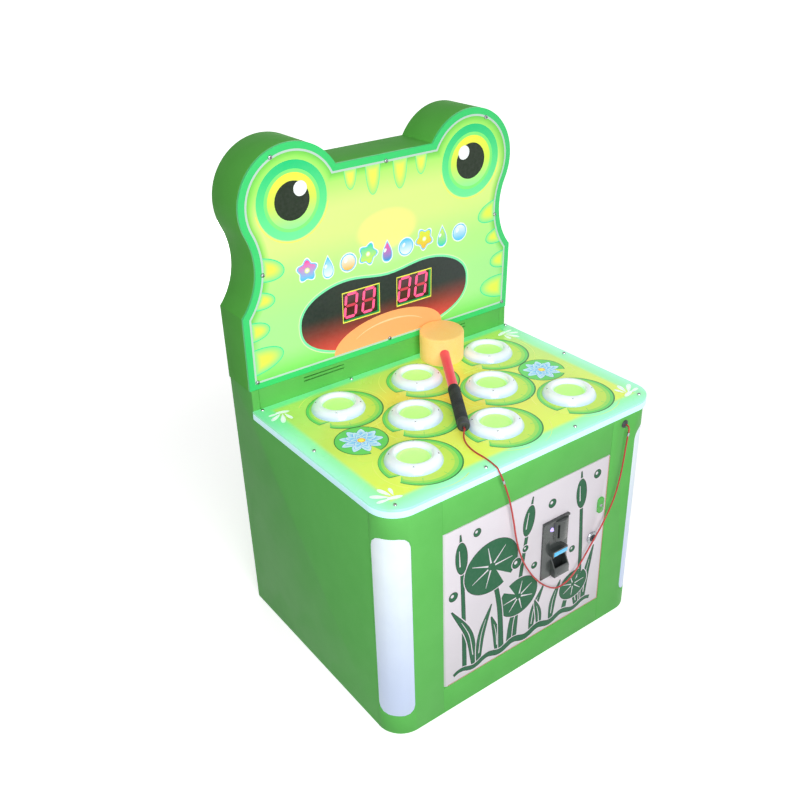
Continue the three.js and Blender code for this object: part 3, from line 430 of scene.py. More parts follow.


# tether first: its route is the same list as the solid's, in metres

tether = {
    "diameter": 0.003,
    "sides": 12,
    "stepsPerPoint": 6,
    "overEdge": 11,                # the point of the route where it leaves the deck
    "crimpAt": (0.4604, 0.4400),   # heights of the two crimps, on the falling and the rising side
    "crimpRadius": 0.0024,
    "crimpLength": 0.007,
    "crimpPress": 0.0001,          # how far a crimp sinks into the cord
    "route": [
        (-0.0594, -0.1286, 0.50275), (-0.0626, -0.1339, 0.5022), (-0.0677, -0.1383, 0.4994),
        (-0.0724, -0.1435, 0.4958), (-0.0772, -0.1519, 0.4935), (-0.082, -0.1645, 0.49285),
        (-0.0854, -0.179, 0.4928), (-0.0866, -0.1939, 0.4928), (-0.086, -0.2085, 0.4928),
        (-0.0863, -0.224, 0.4928), (-0.088, -0.238, 0.49285), (-0.0896, -0.2465, 0.4931),
        (-0.0899, -0.25145, 0.49105), (-0.0889, -0.2535, 0.4861), (-0.085, -0.2535, 0.478),
        (-0.0772, -0.2535, 0.4585), (-0.0636, -0.2535, 0.4175), (-0.0526, -0.2535, 0.3699),
        (-0.0466, -0.2535, 0.338), (-0.0354, -0.2535, 0.296), (-0.0185, -0.2535, 0.2565),
        (0.0065, -0.2535, 0.2163), (0.0364, -0.2535, 0.183), (0.0666, -0.2535, 0.1642),
        (0.095, -0.2535, 0.1675), (0.119, -0.2535, 0.186), (0.1495, -0.2535, 0.2228),
        (0.1813, -0.2535, 0.2644), (0.2029, -0.2535, 0.3044), (0.215, -0.2535, 0.346),
        (0.2206, -0.2535, 0.385), (0.2238, -0.2535, 0.418), (0.226, -0.2535, 0.437),
        (0.2272, -0.2535, 0.4483), (0.2278, -0.25155, 0.45305), (0.228, -0.2468, 0.455),
        (0.228, -0.2458, 0.455),
    ],
}


def smoothRoute(points, steps):
    # a curve through the points, with its speed evened out by their distances
    points = [Vector(p) for p in points]
    ends = [points[0] * 2 - points[1], *points, points[-1] * 2 - points[-2]]
    made = []
    for a, b, c, d in zip(ends, ends[1:], ends[2:], ends[3:]):
        ab, bc, cd = (sqrt((q - p).length) for p, q in ((a, b), (b, c), (c, d)))
        leave = ((b - a) / ab - (c - a) / (ab + bc) + (c - b) / bc) * bc
        reach = ((c - b) / bc - (d - b) / (bc + cd) + (d - c) / cd) * bc
        for i in range(steps):
            t = i / steps
            made.append(b * (2 * t ** 3 - 3 * t ** 2 + 1) + leave * (t ** 3 - 2 * t ** 2 + t)
                        + c * (3 * t ** 2 - 2 * t ** 3) + reach * (t ** 3 - t ** 2))
    return made + [points[-1]]


def tubeShape(path, radius, sides):
    # a round tube on a path, with its section carried along without twist
    shape = bmesh.new()
    steps = [(b - a).normalized() for a, b in zip(path, path[1:])]
    directions = [steps[0], *((a + b).normalized() for a, b in zip(steps, steps[1:])), steps[-1]]
    side = steps[0].orthogonal().normalized()
    rows = []
    for point, ahead in zip(path, directions):
        side = (side - ahead * side.dot(ahead)).normalized()
        other = ahead.cross(side)
        rows.append(addRow(shape, [point + side * x + other * y for x, y in oval(0, 0, radius, steps=sides)]))
    walls(shape, rows)
    shape.faces.new(rows[0][::-1])
    shape.faces.new(rows[-1])
    return shape


def addTether():
    path = smoothRoute(tether["route"], tether["stepsPerPoint"])
    shape = tubeShape(path, tether["diameter"] / 2, tether["sides"])
    cord = addPiece("tether", meshOf(shape, "tether", 60), finishes["cord"])
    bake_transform(cord)
    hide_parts("tether_cord")
    lowest = min(range(len(path)), key=lambda i: path[i].z)
    r, half = tether["crimpRadius"], tether["crimpLength"] / 2
    bore = tether["diameter"] / 2 - tether["crimpPress"]
    profile = softCorner([(bore, -half), (r, -half), (r, half), (bore, half)], 0.0006, 3)
    crimps = []
    for height, part in zip(tether["crimpAt"], (range(1, lowest), range(lowest, len(path) - 1))):
        at = min(part, key=lambda i: abs(path[i].z - height))
        ahead = (path[at + 1] - path[at - 1]).normalized()
        place = Matrix.Translation(path[at]) @ ahead.to_track_quat("Z", "Y").to_matrix().to_4x4()
        shape = bmesh.new()
        turnedShape(shape, profile, 20, place)
        name = f"crimp{len(crimps) + 1}"
        crimps.append(addPiece(name, meshOf(shape, name), finishes["chrome"], "cabinet"))


addTether()

# sizes read from the frame

deckLow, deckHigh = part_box("deck_panel")
faceLow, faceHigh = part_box("face_panel")
shellLow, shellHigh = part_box("head_shell")
doorLow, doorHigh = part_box("service_door")
riserLow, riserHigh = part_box("riser_panel")
riserTop = riserHigh.z
faceFoot = riserLow.y       # the face panel starts flush with the riser and leans forward from there
lean = (faceFoot - faceLow.y) / (faceHigh.z - faceLow.z)
holePlaces = [sum(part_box(f"hole_ring_{n}"), Vector()) / 2 for n in range(1, 9)]

# cabinet boards

boards = {
    "cabinet": ["left_side_panel", "right_side_panel", "rear_panel", "front_top_rail", "front_bottom_rail",
                "left_corner_post", "right_corner_post", "riser_panel"],
    "bareBoard": ["base_board", "mechanism_board"],
    "lens": ["left_corner_lens", "right_corner_lens"],
    "boardGreen": ["control_board"],
    "zinc": ["coin_box", "door_hinge_rod"],
    "blackPlastic": ["power_inlet", "tether_anchor", "speaker"],
}


def addBoards():
    for finish, names in boards.items():
        for node in names:
            dressed(node, finishes[finish], 0.0009 if finish == "cabinet" else 0.0005)


addBoards()
print("cabinet boards ready")

# head, all from one outline that is drawn in by an inset

head = {
    "bottom": shellLow.z,
    "notchHeight": 0.144,     # this and the next heights are above the riser
    "eyeHeight": 0.330,
    "browHeight": 0.382,
    "waistRadius": 0.132,
    "bumpRadius": 0.1035,
    "eyeInset": 0.114,
    "wall": 0.015,
    "seam": 0.0003,           # between the face panel and the shell
    "shellEase": 0.0012,
    "faceEase": 0.0008,
    "waistSteps": 28,
    "bumpSteps": 64,
}
eyeX, eyeZ = shellHigh.x - head["eyeInset"], riserTop + head["eyeHeight"]


def headOutline(inset):
    side, brow = shellHigh.x - inset, riserTop + head["browHeight"] - inset
    bump, waist = head["bumpRadius"] - inset, head["waistRadius"] + inset
    dx, dz = shellHigh.x - eyeX, riserTop + head["notchHeight"] - eyeZ
    span, reach = hypot(dx, dz), head["bumpRadius"] + head["waistRadius"]
    along = (reach ** 2 - head["waistRadius"] ** 2 + span ** 2) / (2 * span)
    aside = sqrt(reach ** 2 - along ** 2)
    waistX, waistZ = eyeX + (along * dx - aside * dz) / span, eyeZ + (along * dz + aside * dx) / span
    joint = atan2(waistZ - eyeZ, waistX - eyeX)
    notch = pi + acos((waistX - side) / waist)
    browAngle = pi - asin((brow - eyeZ) / bump)
    right = [(side, head["bottom"] + inset)]
    right += arc(waistX, waistZ, waist, notch, pi + joint - notch, head["waistSteps"])
    right += arc(eyeX, eyeZ, bump, joint, browAngle - joint, head["bumpSteps"])[1:]
    return right + [(-x, z) for x, z in reversed(right)]


score = {"width": 0.082, "height": 0.057, "spacing": 0.125, "aboveRiser": 0.109}
scorePlaces = [(side * score["spacing"] / 2, riserTop + score["aboveRiser"]) for side in (-1, 1)]
halfWide, halfTall = score["width"] / 2, score["height"] / 2
window = [(-halfWide, -halfTall), (halfWide, -halfTall), (halfWide, halfTall), (-halfWide, halfTall)]
windows = [turned(window, x, z, 0) for x, z in scorePlaces]


def addHeadSlab(node, finish, front, back, ease, holes, evenLean):
    # the face leans as a whole, and the shell only at its front
    shape = lofted([upright(headOutline(inset), y) for inset, y in easedLevels(front, back, ease)],
                   [[upright(hole, y) for y in (front, back)] for hole in holes])
    for v in shape.verts:
        share = 1 if evenLean else (back - v.co.y) / (back - front)
        v.co.y -= share * lean * (v.co.z - faceLow.z)
    standIn(node, shape, finish)


def addHead():
    addHeadSlab("head_shell", finishes["headSide"], faceHigh.y + head["seam"], shellHigh.y, head["shellEase"],
                [headOutline(head["wall"])], False)
    addHeadSlab("face_panel", finishes["faceEdge"], faceFoot, faceHigh.y, head["faceEase"], windows, True)
    dressed("head_back_panel", finishes["headSide"], 0.0006)
    dressed("light_board", finishes["whiteBoard"], 0)


addHead()
print("head ready")

# printed artwork: flat shapes a hair above the panel, each with its ink in an attribute

inks = {name: ink(code) for name, code in {
    "white": "f2f6f8", "stripe": "bcd2c8", "mist": "dff3ee", "full": "ffffff", "none": "000000",
    "tealDeep": "22ca7c", "tealGreen": "5ae08a", "tealPale": "74ec9e", "eyeGreen": "83ee7c",
    "eyeTop": "f6f04c", "eyeSide": "d6f25a", "eyeLow": "97f99c", "yellow": "f4f05a", "pupil": "1c2a1a",
    "mint": "7cecae", "lipPale": "dcf7bb", "orange": "fcae70", "peach": "ffcf9f",
    "spotLine": "3fdd9c", "spotRim": "86ee93", "spotCore": "e8f355", "markRim": "a9f780",
    "markCore": "eefb5c", "pink": "ff4fa6", "sky": "52c4f4", "skyDark": "2f8fd6", "amber": "f5b73c",
    "lime": "d9ee4a", "sea": "38d7b0",
    "leaf": "5fcb5f", "leafMiddle": "93d457", "leafDark": "2d7a3c", "leafPale": "bcdb52", "ripple": "dcea70",
    "pond": "2c6a48", "door": "f0eaf1", "doorEdge": "c9854a", "outline": "2c3a33",
    "petal": "d8f1ff", "petalShade": "7cc6f0", "digitLit": "ff4f86", "digitDim": "b42a40",
}.items()}
layer = 0.00003     # from one print to the next
fade = {"rings": (0.2, 0.4, 0.6, 0.8, 1.0), "shares": (0.0, 0.1, 0.35, 0.7, 1.0)}


def pointed(x, y, length, width, turn, blunt, steps=14):
    # a petal that starts at (x, y) and points along turn
    flank = [(i / steps * length, width / 2 * sin(pi * i / steps) ** blunt) for i in range(steps + 1)]
    return turned(flank + [(u, -v) for u, v in reversed(flank[1:-1])], x, y, turn)


def waterDrop(x, y, length, width, turn, steps=28):
    # pointed at (x, y), round at its far end
    angles = [tau * i / steps for i in range(steps)]
    loop = [(length / 2 * (1 - cos(a)), width / 2 * sin(a) * sin(a / 2) ** 1.3) for a in angles]
    return turned(loop, x, y, turn)


def grown(loop, by):
    # the loop moved outwards along its corners' normals
    area = sum(a[0] * b[1] - b[0] * a[1] for a, b in zip(loop, loop[1:] + loop[:1]))
    sign = 1 if area > 0 else -1
    made = []
    for (ax, ay), (x, y), (bx, by2) in zip(loop[-1:] + loop[:-1], loop, loop[1:] + loop[:1]):
        nx, ny = (by2 - ay) * sign, -(bx - ax) * sign
        size = hypot(nx, ny) or 1
        made.append((x + nx / size * by, y + ny / size * by))
    return made


def ribbon(points, startWidth, endWidth, steps, swell=0.0):
    # a stroke along a smooth line that changes its width evenly, and may be thicker on its way
    line = [(p.x, p.y) for p in smoothRoute(level(points, 0), steps)]
    left, right = [], []
    for i, (x, y) in enumerate(line):
        (ax, ay), (bx, by) = line[max(i - 1, 0)], line[min(i + 1, len(line) - 1)]
        size = hypot(bx - ax, by - ay)
        share = i / (len(line) - 1)
        half = (startWidth + (endWidth - startWidth) * share + swell * sin(pi * share)) / 2
        nx, ny = -(by - ay) / size * half, (bx - ax) / size * half
        left.append((x + nx, y + ny))
        right.append((x - nx, y - ny))
    return left + right[::-1]


def between(first, second, share):
    return [a + (b - a) * share for a, b in zip(inks[first], inks[second])]


def inkedFaces(shape, height, colour, loops):
    # the faces of one print, and what gives a corner's ink: two inks in brackets fade from the middle out,
    # inks in a list follow each other upwards, and a band runs from its first loop to its second
    fading = isinstance(colour, tuple)
    if fading:
        cx, cy = (sum(p[k] for p in loops[0]) / len(loops[0]) for k in (0, 1))
        loops = [[(cx + (x - cx) * s, cy + (y - cy) * s) for x, y in loops[0]] for s in fade["rings"]]
    rows = [addRow(shape, level(loop, height)) for loop in loops]
    if fading or isinstance(colour, dict):
        shares, ends = (fade["shares"], colour) if fading else ((0, 1), colour["band"])
        at = {v: share for share, row in zip(shares, rows) for v in row}
        faces = walls(shape, rows) + ([shape.faces.new(rows[0])] if fading else [])
        return faces, lambda vert: between(*ends, at[vert])
    edges = [shape.edges.new(pair) for row in rows for pair in zip(row, row[1:] + row[:1])]
    filled = bmesh.ops.triangle_fill(shape, use_beauty=True, edges=edges)["geom"]
    faces = [g for g in filled if isinstance(g, bmesh.types.BMFace)]
    if isinstance(colour, str):
        return faces, lambda vert: inks[colour]
    low, high = (pick(y for loop in loops for x, y in loop) for pick in (min, max))

    def stepped(vert):
        place = (vert.co.y - low) / (high - low) * (len(colour) - 1)
        n = min(int(place), len(colour) - 2)
        return between(colour[n], colour[n + 1], place - n)
    return faces, stepped


def flat(height, colour, *loops, number=0):
    # one print: its height in layers, ink, outline and holes, and its finish among the sheet's
    return layer * height, colour, loops, number


def addSheet(name, prints, spot, finish, body):
    shape = bmesh.new()
    colours = shape.loops.layers.float_color.new("ink")
    for height, colour, loops, number in prints:
        faces, inkAt = inkedFaces(shape, height, colour, loops)
        for face in faces:
            for corner in face.loops:
                corner[colours] = inkAt(corner.vert)
            face.material_index = number
            face.normal_update()
            if face.normal.z < 0:
                face.normal_flip()
    bmesh.ops.transform(shape, matrix=spot, verts=shape.verts)
    return addPiece(name, meshOf(shape, name), finish, body)


def inkPicture(tree, place):
    return addNode(tree, "ShaderNodeAttribute", attribute_name="ink").outputs["Color"]


def printed(name, glow, picture=inkPicture, rough=0.3, coat=0.15, shine=0.35):
    return coated(name, "ffffff", "ffffff", rough, 160, 0.015, 0.02, coat=coat, glow=glow, shine=shine,
                  picture=picture)


def leaning(y):
    # puts a flat sheet's x and y on a plane that leans as the face does
    return Matrix(((1, 0, 0, 0), (0, -lean, -1, y), (0, 1, 0, 0), (0, 0, 0, 1)))


onFace = leaning(faceFoot + lean * faceLow.z)
onDeck = Matrix.Translation((0, 0, deckHigh.z))
onDoor = Matrix(((1, 0, 0, 0), (0, 0, -1, doorLow.y), (0, 1, 0, 0), (0, 0, 0, 1)))

# face artwork: round eyes, a wide mouth and soft spots

face = {
    "stripe": (0.0120, 0.0158),      # the pale line runs between these insets
    # the field's band of painted shade, where the shell's walls keep the backlight off it
    "shade": (0.0158, 0.030),        # the field is darker from the first inset to the second
    "clear": 0.0003,                 # from the pale line to a spot's edge
    "eye": (0.197, 0.8655),
    "eyeRings": [(0.0695, ["tealPale", "tealGreen", "tealDeep"]), (0.0545, "eyeGreen"),
                 (0.0485, ["eyeLow", "eyeSide", "eyeTop"]), (0.0345, "pupil")],
    "eyeLine": (0.0728, 0.0014),     # radius and width of the thin line under an eye
    "glint": (0.017, 0.0185, 0.0133),
    "mouth": (0.195, 0.0775, 0.6245, 2.4),   # half width, half height, middle height, squareness
    "mouthDip": (0.020, 0.075),
    "tongue": (0.003, 0.130, 0.057),         # middle, half width, height
    "tongueShine": (0.72, 0.70, 0.55, 2.04), # shares of those two, then its start and its sweep
    "marks": ((0.030, 0.0150, 0.052), (0.078, 0.0120, 0.034)),    # across, half width, length
    "spots": ((0.585, 0.058, 0.024), (0.645, 0.034, 0.017), (0.700, 0.030, 0.015), (0.755, 0.040, 0.020)),
    "field": "86e36c",
    "fieldBands": ((0.545, 0.600, "abed94"), (0.640, 0.720, "b6f68c"), (0.710, 0.800, "daf88c"),
                   (0.830, 0.900, "aaf070")),
    # height, half width and half height, where it starts and ends to fade, strength, colour
    "fieldPatches": ((0.728, 0.085, 0.032, 0.2, 1.0, 0.6, "c2fbb2"),
                     (0.772, 0.072, 0.042, 0.75, 1.05, 0.75, "fdfb8c")),
}


def sideAt(z, inset):
    # how far out the outline lies at a height, up to the eyes' sides
    right = headOutline(inset)
    for (x0, z0), (x1, z1) in zip(right, right[1:]):
        if z0 <= z <= z1:
            return x0 + (x1 - x0) * (z - z0) / (z1 - z0)
    return right[0][0]


def facePicture(tree, place):
    # lime, yellowest over the middle, with a soft yellow patch, and painted shade along the pale line, where
    # the shell's walls keep the backlight off
    height = axisOf(tree, place, "Z")
    colour = ink(face["field"])
    for low, high, code in face["fieldBands"]:
        colour = blendColour(tree, ramp(tree, height, low, high), colour, ink(code))
    for z, wide, tall, inside, outside, strength, code in face["fieldPatches"]:
        mask = placeGroup(tree, roundPatch, {
            "Vector": place, "Centre": (0, faceLow.y, z), "Size": (wide, 1.0, tall), "Inside": inside,
            "Outside": outside})["Mask"]
        colour = blendColour(tree, calc(tree, "MULTIPLY", mask, strength), colour, ink(code))
    # painted shade along the pale line, fading out below the notch
    shade = addNode(tree, "ShaderNodeAttribute", attribute_name="ink").outputs["Fac"]
    edge = calc(tree, "MULTIPLY", shade, ramp(tree, height, 0.585, 0.670, 0.25, 0.9))
    return blendColour(tree, edge, colour, ink("66cb4c"))


def mouthPicture(tree, place):
    low = face["mouth"][2] - face["mouth"][1]
    height = axisOf(tree, place, "Z")
    colour = blendColour(tree, ramp(tree, height, low, low + 0.060), ink("f8554e"), ink("a53f3a"))
    return blendColour(tree, ramp(tree, height, low + 0.035, low + 0.090), colour, ink("2b3432"))


def mouthOutline():
    halfWidth, halfHeight, middle, square = face["mouth"]
    deep, wide = face["mouthDip"]
    lips = []
    for u, v in oval(0, 0, 1, steps=120):
        x, z = (half * abs(t) ** (2 / square) * (1 if t > 0 else -1)
                for half, t in ((halfWidth, u), (halfHeight, v)))
        lips.append((x, middle + z - (deep * exp(-(x / wide) ** 2) if v > 0 else 0)))
    return lips


def faceShapes():
    inset, inner = face["shade"]
    clear = face["clear"]
    foot, brow = faceLow.z + inset + clear, riserTop + head["browHeight"] - inset - clear

    def kept(loop):
        # cut off at the pale line
        made = []
        for x, z in loop:
            z = min(max(z, foot), brow)
            limit = sideAt(z, inset) - clear
            made.append((max(min(x, limit), -limit), z))
        return made

    def rimmed(n, loop, by, inksOf):
        return [flat(2 + n * 0.2, "spotLine", kept(grown(loop, by))), flat(3 + n * 0.2, inksOf, kept(loop))]
    prints = [flat(1, "stripe", *(headOutline(by) for by in face["stripe"])),
              # the band of painted shade, darkest at the pale line
              flat(1, {"band": ("full", "none")}, headOutline(inset), headOutline(inner), number=1),
              flat(1, "none", headOutline(inner), *windows, number=1)]
    for side in (-1, 1):
        for n, (z, reach, tall) in enumerate(face["spots"]):
            spot = oval(side * sideAt(z, inset), z, reach, tall, side * 0.12 * (n - 1), 64)
            prints += rimmed(n, spot, 0.0018, ("spotCore", "spotRim"))
        for n, (x, wide, long) in enumerate(face["marks"]):
            prints += rimmed(n, oval(side * x, brow, wide, long), 0.0012, ("markCore", "markRim"))
        x, z = side * face["eye"][0], face["eye"][1]
        radius, wide = face["eyeLine"]
        prints.append(flat(4.5, "yellow", ribbon(arc(x, z, radius, pi * 1.06, pi * 0.88, 12), wide, wide, 5)))
        for n, (r, colour) in enumerate(face["eyeRings"]):
            prints.append(flat(5 + n, colour, oval(x, z, r, steps=96)))
        dx, dz, radius = face["glint"]
        prints.append(flat(10, "white", oval(x - side * dx, z + dz, radius)))
    lips = mouthOutline()
    x, half, rise = face["tongue"]
    wide, tall, start, sweep = face["tongueShine"]
    shine = arc(x, foot, half * wide, start, sweep, 20, rise * tall)
    prints += [flat(2, "lipPale", kept(grown(lips, 0.0062)), *windows),
               flat(2.5, "mint", kept(grown(lips, 0.0044)), *windows),
               flat(3, "pupil", kept(lips), *windows, number=2),
               flat(4, "orange", arc(x, foot, half, 0, pi, 48, rise)),
               flat(5, "peach", ribbon(shine[:11:2], 0.0006, 0.0038, 6)),
               flat(5, "peach", ribbon(shine[:9:-2], 0.0006, 0.0038, 6))]
    prints += [flat(6, "yellow", grown(w, 0.0030), grown(w, 0.0003)) for w in windows]
    return prints + rowShapes()


motifs = {
    "height": 0.730,
    "start": -0.176,
    "step": 0.0438,
    "radii": (0.0165, 0.0135, 0.0150),   # of a flower, a drop and a bubble
    "rims": (0.0042, 0.0020, 0),
    "fills": (["sky", "pink"], ["white", "sky"], ["amber", "white"], ["lime", "sea"], ["skyDark", "pink"],
              ["white", "sky"], ["amber", "lime"], ["sea", "lime"], ["sky", "white"]),
}


def rowShapes():
    # a row of flowers, drops and bubbles, each with a white rim and a blue line
    prints = []
    for n, fill in enumerate(motifs["fills"]):
        x, z = motifs["start"] + motifs["step"] * n, motifs["height"] + 0.004 * cos(n * 2.1)
        radius = motifs["radii"][n % 3]

        def flower(by):
            angles = [tau * i / 60 for i in range(60)]
            waves = [(radius + by) * (1 + 0.17 * cos(5 * (a - (0.3 * n + 0.3)))) for a in angles]
            return [(x + wave * cos(a), z + wave * sin(a)) for wave, a in zip(waves, angles)]

        def drop(by):
            length, width = radius * 2.7 + by * 2.6, (radius + by) * 2
            return waterDrop(x, z + radius * 1.45 + by * 1.5, length, width, -pi / 2, 48)

        def bubble(by):
            return oval(x, z, radius + by)
        outline = (flower, drop, bubble)[n % 3]
        prints += [flat(height, colour, outline(by))
                   for height, colour, by in zip((2, 3, 4), ("white", "sky", fill), motifs["rims"])]
        if outline is flower:
            prints.append(flat(5, ("white", "lime"), oval(x, z, radius * 0.32)))
        else:
            glint = oval(x - radius * 0.36, z + radius * 0.3, radius * 0.2, radius * 0.3, -0.5, 24)
            prints.append(flat(5, "white", glint))
    return prints


def addFaceArtwork():
    sheets = [printed("facePrint", 0.28, coat=0.05, shine=0.2),
              printed("faceField", 0.28, facePicture, coat=0.05, shine=0.2),
              printed("mouthPrint", 0.08, mouthPicture, coat=0.1, shine=0.2)]
    addSheet("faceArtwork", faceShapes(), onFace, sheets, "cabinet")


addFaceArtwork()

# score display: two tinted modules, each with two slanted digits

digits = {"height": 0.046, "width": 0.0245, "bar": 0.0055, "slant": 0.12, "apart": 0.0405, "gap": 0.0011}


def digitBars(x, z):
    w, h, b, g = digits["width"] / 2, digits["height"] / 2, digits["bar"] / 2, digits["gap"]
    lying = [(-w + g, 0), (-w + g + b, b), (w - g - b, b), (w - g, 0), (w - g - b, -b), (-w + g + b, -b)]
    tall = [(0, g), (b, g + b), (b, h - g - b), (0, h - g), (-b, h - g - b), (-b, g + b)]
    bars = [[(u, v + rise) for u, v in lying] for rise in (-h, 0, h)]
    bars += [[(u + side * w, v + rise) for u, v in tall] for side in (-1, 1) for rise in (-h, 0)]
    return [[(x + u + v * digits["slant"], z + v) for u, v in bar] for bar in bars]


def addScore():
    dressed("score_display", finishes["displayBlack"], 0.0004)
    low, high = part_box("score_display")
    prints = [flat(2, "digitDim" if n == 1 else "digitLit", bar) for x, z in scorePlaces for side in (-1, 1)
              for n, bar in enumerate(digitBars(x + side * digits["apart"] / 2, z))]
    addSheet("scoreDigits", prints, leaning(low.y + lean * high.z), printed("digitRed", 0.8), "cabinet")


addScore()
print("face and score ready")

# deck: a lit milky frame under a printed clear panel

deck = {
    "cornerRadius": 0.052,
    "cornerSteps": 24,
    "frameEase": 0.0009,
    "panelEase": 0.0006,
    "holeRadius": 0.0372,
    "border": 0.029,
    "padRadius": 0.0715,
    "padShift": (0.008, -0.009),
    "padHole": 0.0445,
    # a leaf's inks: height in layers, shift across and back, how much smaller, half of its notch, notch's tip
    "padInks": {"leafDark": (1, 0, 0, 0, 0.16, 0.0505), "leaf": (2, -0.0006, 0.0008, 0.0018, 0.17, 0.0505),
                "leafMiddle": (2.5, -0.001, 0.0012, 0.0070, 0.185, 0.0505),
                "leafPale": (3, -0.002, 0.002, 0.0125, 0.2, 0.0500)},
    "ripples": ((1.16, 0.3, 1.2), (1.12, 2.4, 1.5), (1.2, 4.3, 0.9)),            # radius, start, sweep
    "flowers": ((-0.212, -0.036, 0.045, 0.3), (0.214, -0.038, 0.043, 1.1)),
    "petals": ((9, 0.86, 0.36, 0.0), (8, 0.66, 0.30, 0.35), (6, 0.42, 0.22, 0.1)),   # count, size, start
    "splashIn": (0.042, 0.036),      # from the deck's corners
    "splash": ((-0.75, 0.026, 0.010), (-0.2, 0.034, 0.013), (0.4, 0.030, 0.012), (0.95, 0.022, 0.009)),
}


def deckOutline(inset):
    x, front, back = deckHigh.x - inset, deckLow.y + inset, deckHigh.y - inset
    r = deck["cornerRadius"] - inset
    left, right = (arc(side * (x - r), front + r, r, start, pi / 2, deck["cornerSteps"])
                   for side, start in ((-1, pi), (1, -pi / 2)))
    return left + right + [(x, back), (-x, back)]


def deckPicture(tree, place):
    # yellow-green water in a mint border, with faint ripples
    x, y = axisOf(tree, place, "X"), axisOf(tree, place, "Y")
    fromSide = calc(tree, "SUBTRACT", deckHigh.x, calc(tree, "ABSOLUTE", x))
    fromFront = calc(tree, "SUBTRACT", y, deckLow.y)
    fromBack = calc(tree, "SUBTRACT", deckHigh.y + 0.014, y)
    away = calc(tree, "MINIMUM", calc(tree, "MINIMUM", fromSide, fromFront), fromBack)
    water = blendColour(tree, ramp(tree, y, -0.20, 0.12), ink("d6ea58"), ink("b4df68"))
    middle = placeGroup(tree, roundPatch, {
        "Vector": place, "Centre": (0.0, -0.01, deckHigh.z), "Size": (0.27, 0.19, 1.0), "Inside": 0.15,
        "Outside": 1.1})["Mask"]
    water = blendColour(tree, middle, water, ink("e4d44a"))
    cloud = noise(tree, place, 14.0, 3.0, 1.5)
    water = blendColour(tree, ramp(tree, cloud, 0.48, 0.78, 0.0, 0.35), water, ink("c4ea68"))
    band = blendColour(tree, ramp(tree, away, 0.0, deck["border"]), ink("a0f4d2"), ink("94efac"))
    band = blendColour(tree, ramp(tree, y, 0.02, 0.16, 0.0, 0.6), band, ink("63e08a"))
    return blendColour(tree, ramp(tree, away, deck["border"] - 0.003, deck["border"] + 0.009), band, water)


def padLoop(x, y, radius, notch, spread, tip):
    # a round leaf with a notch whose tip lies that far from the middle
    rim = arc(x, y, radius, notch + spread, tau - 2 * spread, 72)
    return rim + [(x + tip * cos(notch), y + tip * sin(notch))]


def flowerShapes(x, y, size, turn):
    # a water flower on its leaf
    prints = [flat(1, "leafDark", padLoop(x, y, size * 1.06, turn - 1.9, 0.2, size * 0.1)),
              flat(2, "leaf", padLoop(x, y, size * 1.02, turn - 1.9, 0.21, size * 0.14))]
    for n, (count, length, width, start) in enumerate(deck["petals"]):
        for i in range(count):
            petal = pointed(x, y, size * length, size * width, turn + start + tau * i / count, 0.7)
            height = 3 + n * 3 + i * 0.11
            prints += [flat(height, "skyDark", grown(petal, 0.0007)),
                       flat(height + 0.06, ("petalShade", "petal"), petal)]
    return prints + [flat(13, "amber", oval(x, y, size * 0.16)), flat(14, "yellow", oval(x, y, size * 0.10))]


def leafShapes(n, hole):
    # the leaf round one hole, with its veins and the ripples round it
    x, y = hole.x + deck["padShift"][0], hole.y + deck["padShift"][1]
    notch, r = radians(196 + 5 * (n % 3)), deck["padRadius"]
    around = oval(hole.x, hole.y, deck["padHole"])
    prints = [flat(height, colour, padLoop(x + dx, y + dy, r - less, notch, spread, tip), around)
              for colour, (height, dx, dy, less, spread, tip) in deck["padInks"].items()]
    for i in range(7):
        a = notch + 0.7 + 0.8 * i
        vein = [(x + s * cos(a), y + s * sin(a)) for s in (0.050, r - 0.007)]
        if hypot(vein[0][0] - hole.x, vein[0][1] - hole.y) > deck["padHole"]:
            prints.append(flat(4, "leaf", ribbon(vein, 0.0012, 0.0004, 2)))
    for scale, start, sweep in deck["ripples"]:
        ripple = arc(x, y, r * scale, start + n * 0.7, sweep, 8)
        prints.append(flat(1, "ripple", ribbon(ripple, 0.0004, 0.0014, 3)))
    return prints


def splashShapes(side, end):
    # pale drops that fan out from one corner
    x = side * (deckHigh.x - deck["splashIn"][0])
    y = (deckHigh if end > 0 else deckLow).y - end * deck["splashIn"][1]
    prints = []
    for spread, length, width in deck["splash"]:
        a = spread - end * 0.9
        a = a if side > 0 else pi - a
        drop = waterDrop(x + 0.006 * cos(a), y + 0.006 * sin(a), length, width, a)
        prints.append(flat(2, ("white", "mist"), drop))
    return prints + [flat(2, ("white", "mist"), oval(x, y, 0.013, 0.0045, 0.3 * side))]


def addDeck():
    holes = [oval(p.x, p.y, deck["holeRadius"]) for p in holePlaces]
    panelFinish = printed("deckPrint", 0.42, deckPicture, 0.22, 0.25)
    for node, finish, ease in (("deck_light_frame", finishes["litEdge"], deck["frameEase"]),
                               ("deck_panel", panelFinish, deck["panelEase"])):
        ends = [corner.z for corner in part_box(node)]
        shape = lofted([level(deckOutline(inset), z) for inset, z in easedLevels(*ends, ease)],
                       [[level(hole, z) for z in ends] for hole in holes])
        standIn(node, shape, finish)
    prints = [one for n, hole in enumerate(holePlaces) for one in leafShapes(n, hole)]
    prints += [one for flower in deck["flowers"] for one in flowerShapes(*flower)]
    prints += [one for end in (-1, 1) for side in (-1, 1) for one in splashShapes(side, end)]
    addSheet("deckArtwork", prints, onDeck, printed("deckInks", 0.40), "cabinet")


addDeck()
print("deck ready")

# hole rings, made by a node tree: one profile, turned and set on every hole

ring = {
    "sides": 72,
    "bore": 0.030,
    "profile": [(0.0, -0.045), (0.006, -0.045), (0.006, 0.0003), (0.0200, 0.0003), (0.0200, 0.0026),
                (0.0188, 0.0052), (0.0160, 0.0099), (0.0115, 0.0140), (0.0068, 0.0158), (0.0040, 0.0159),
                (0.0015, 0.0145), (0.0, 0.0120)],   # outwards from the bore, above the deck
}


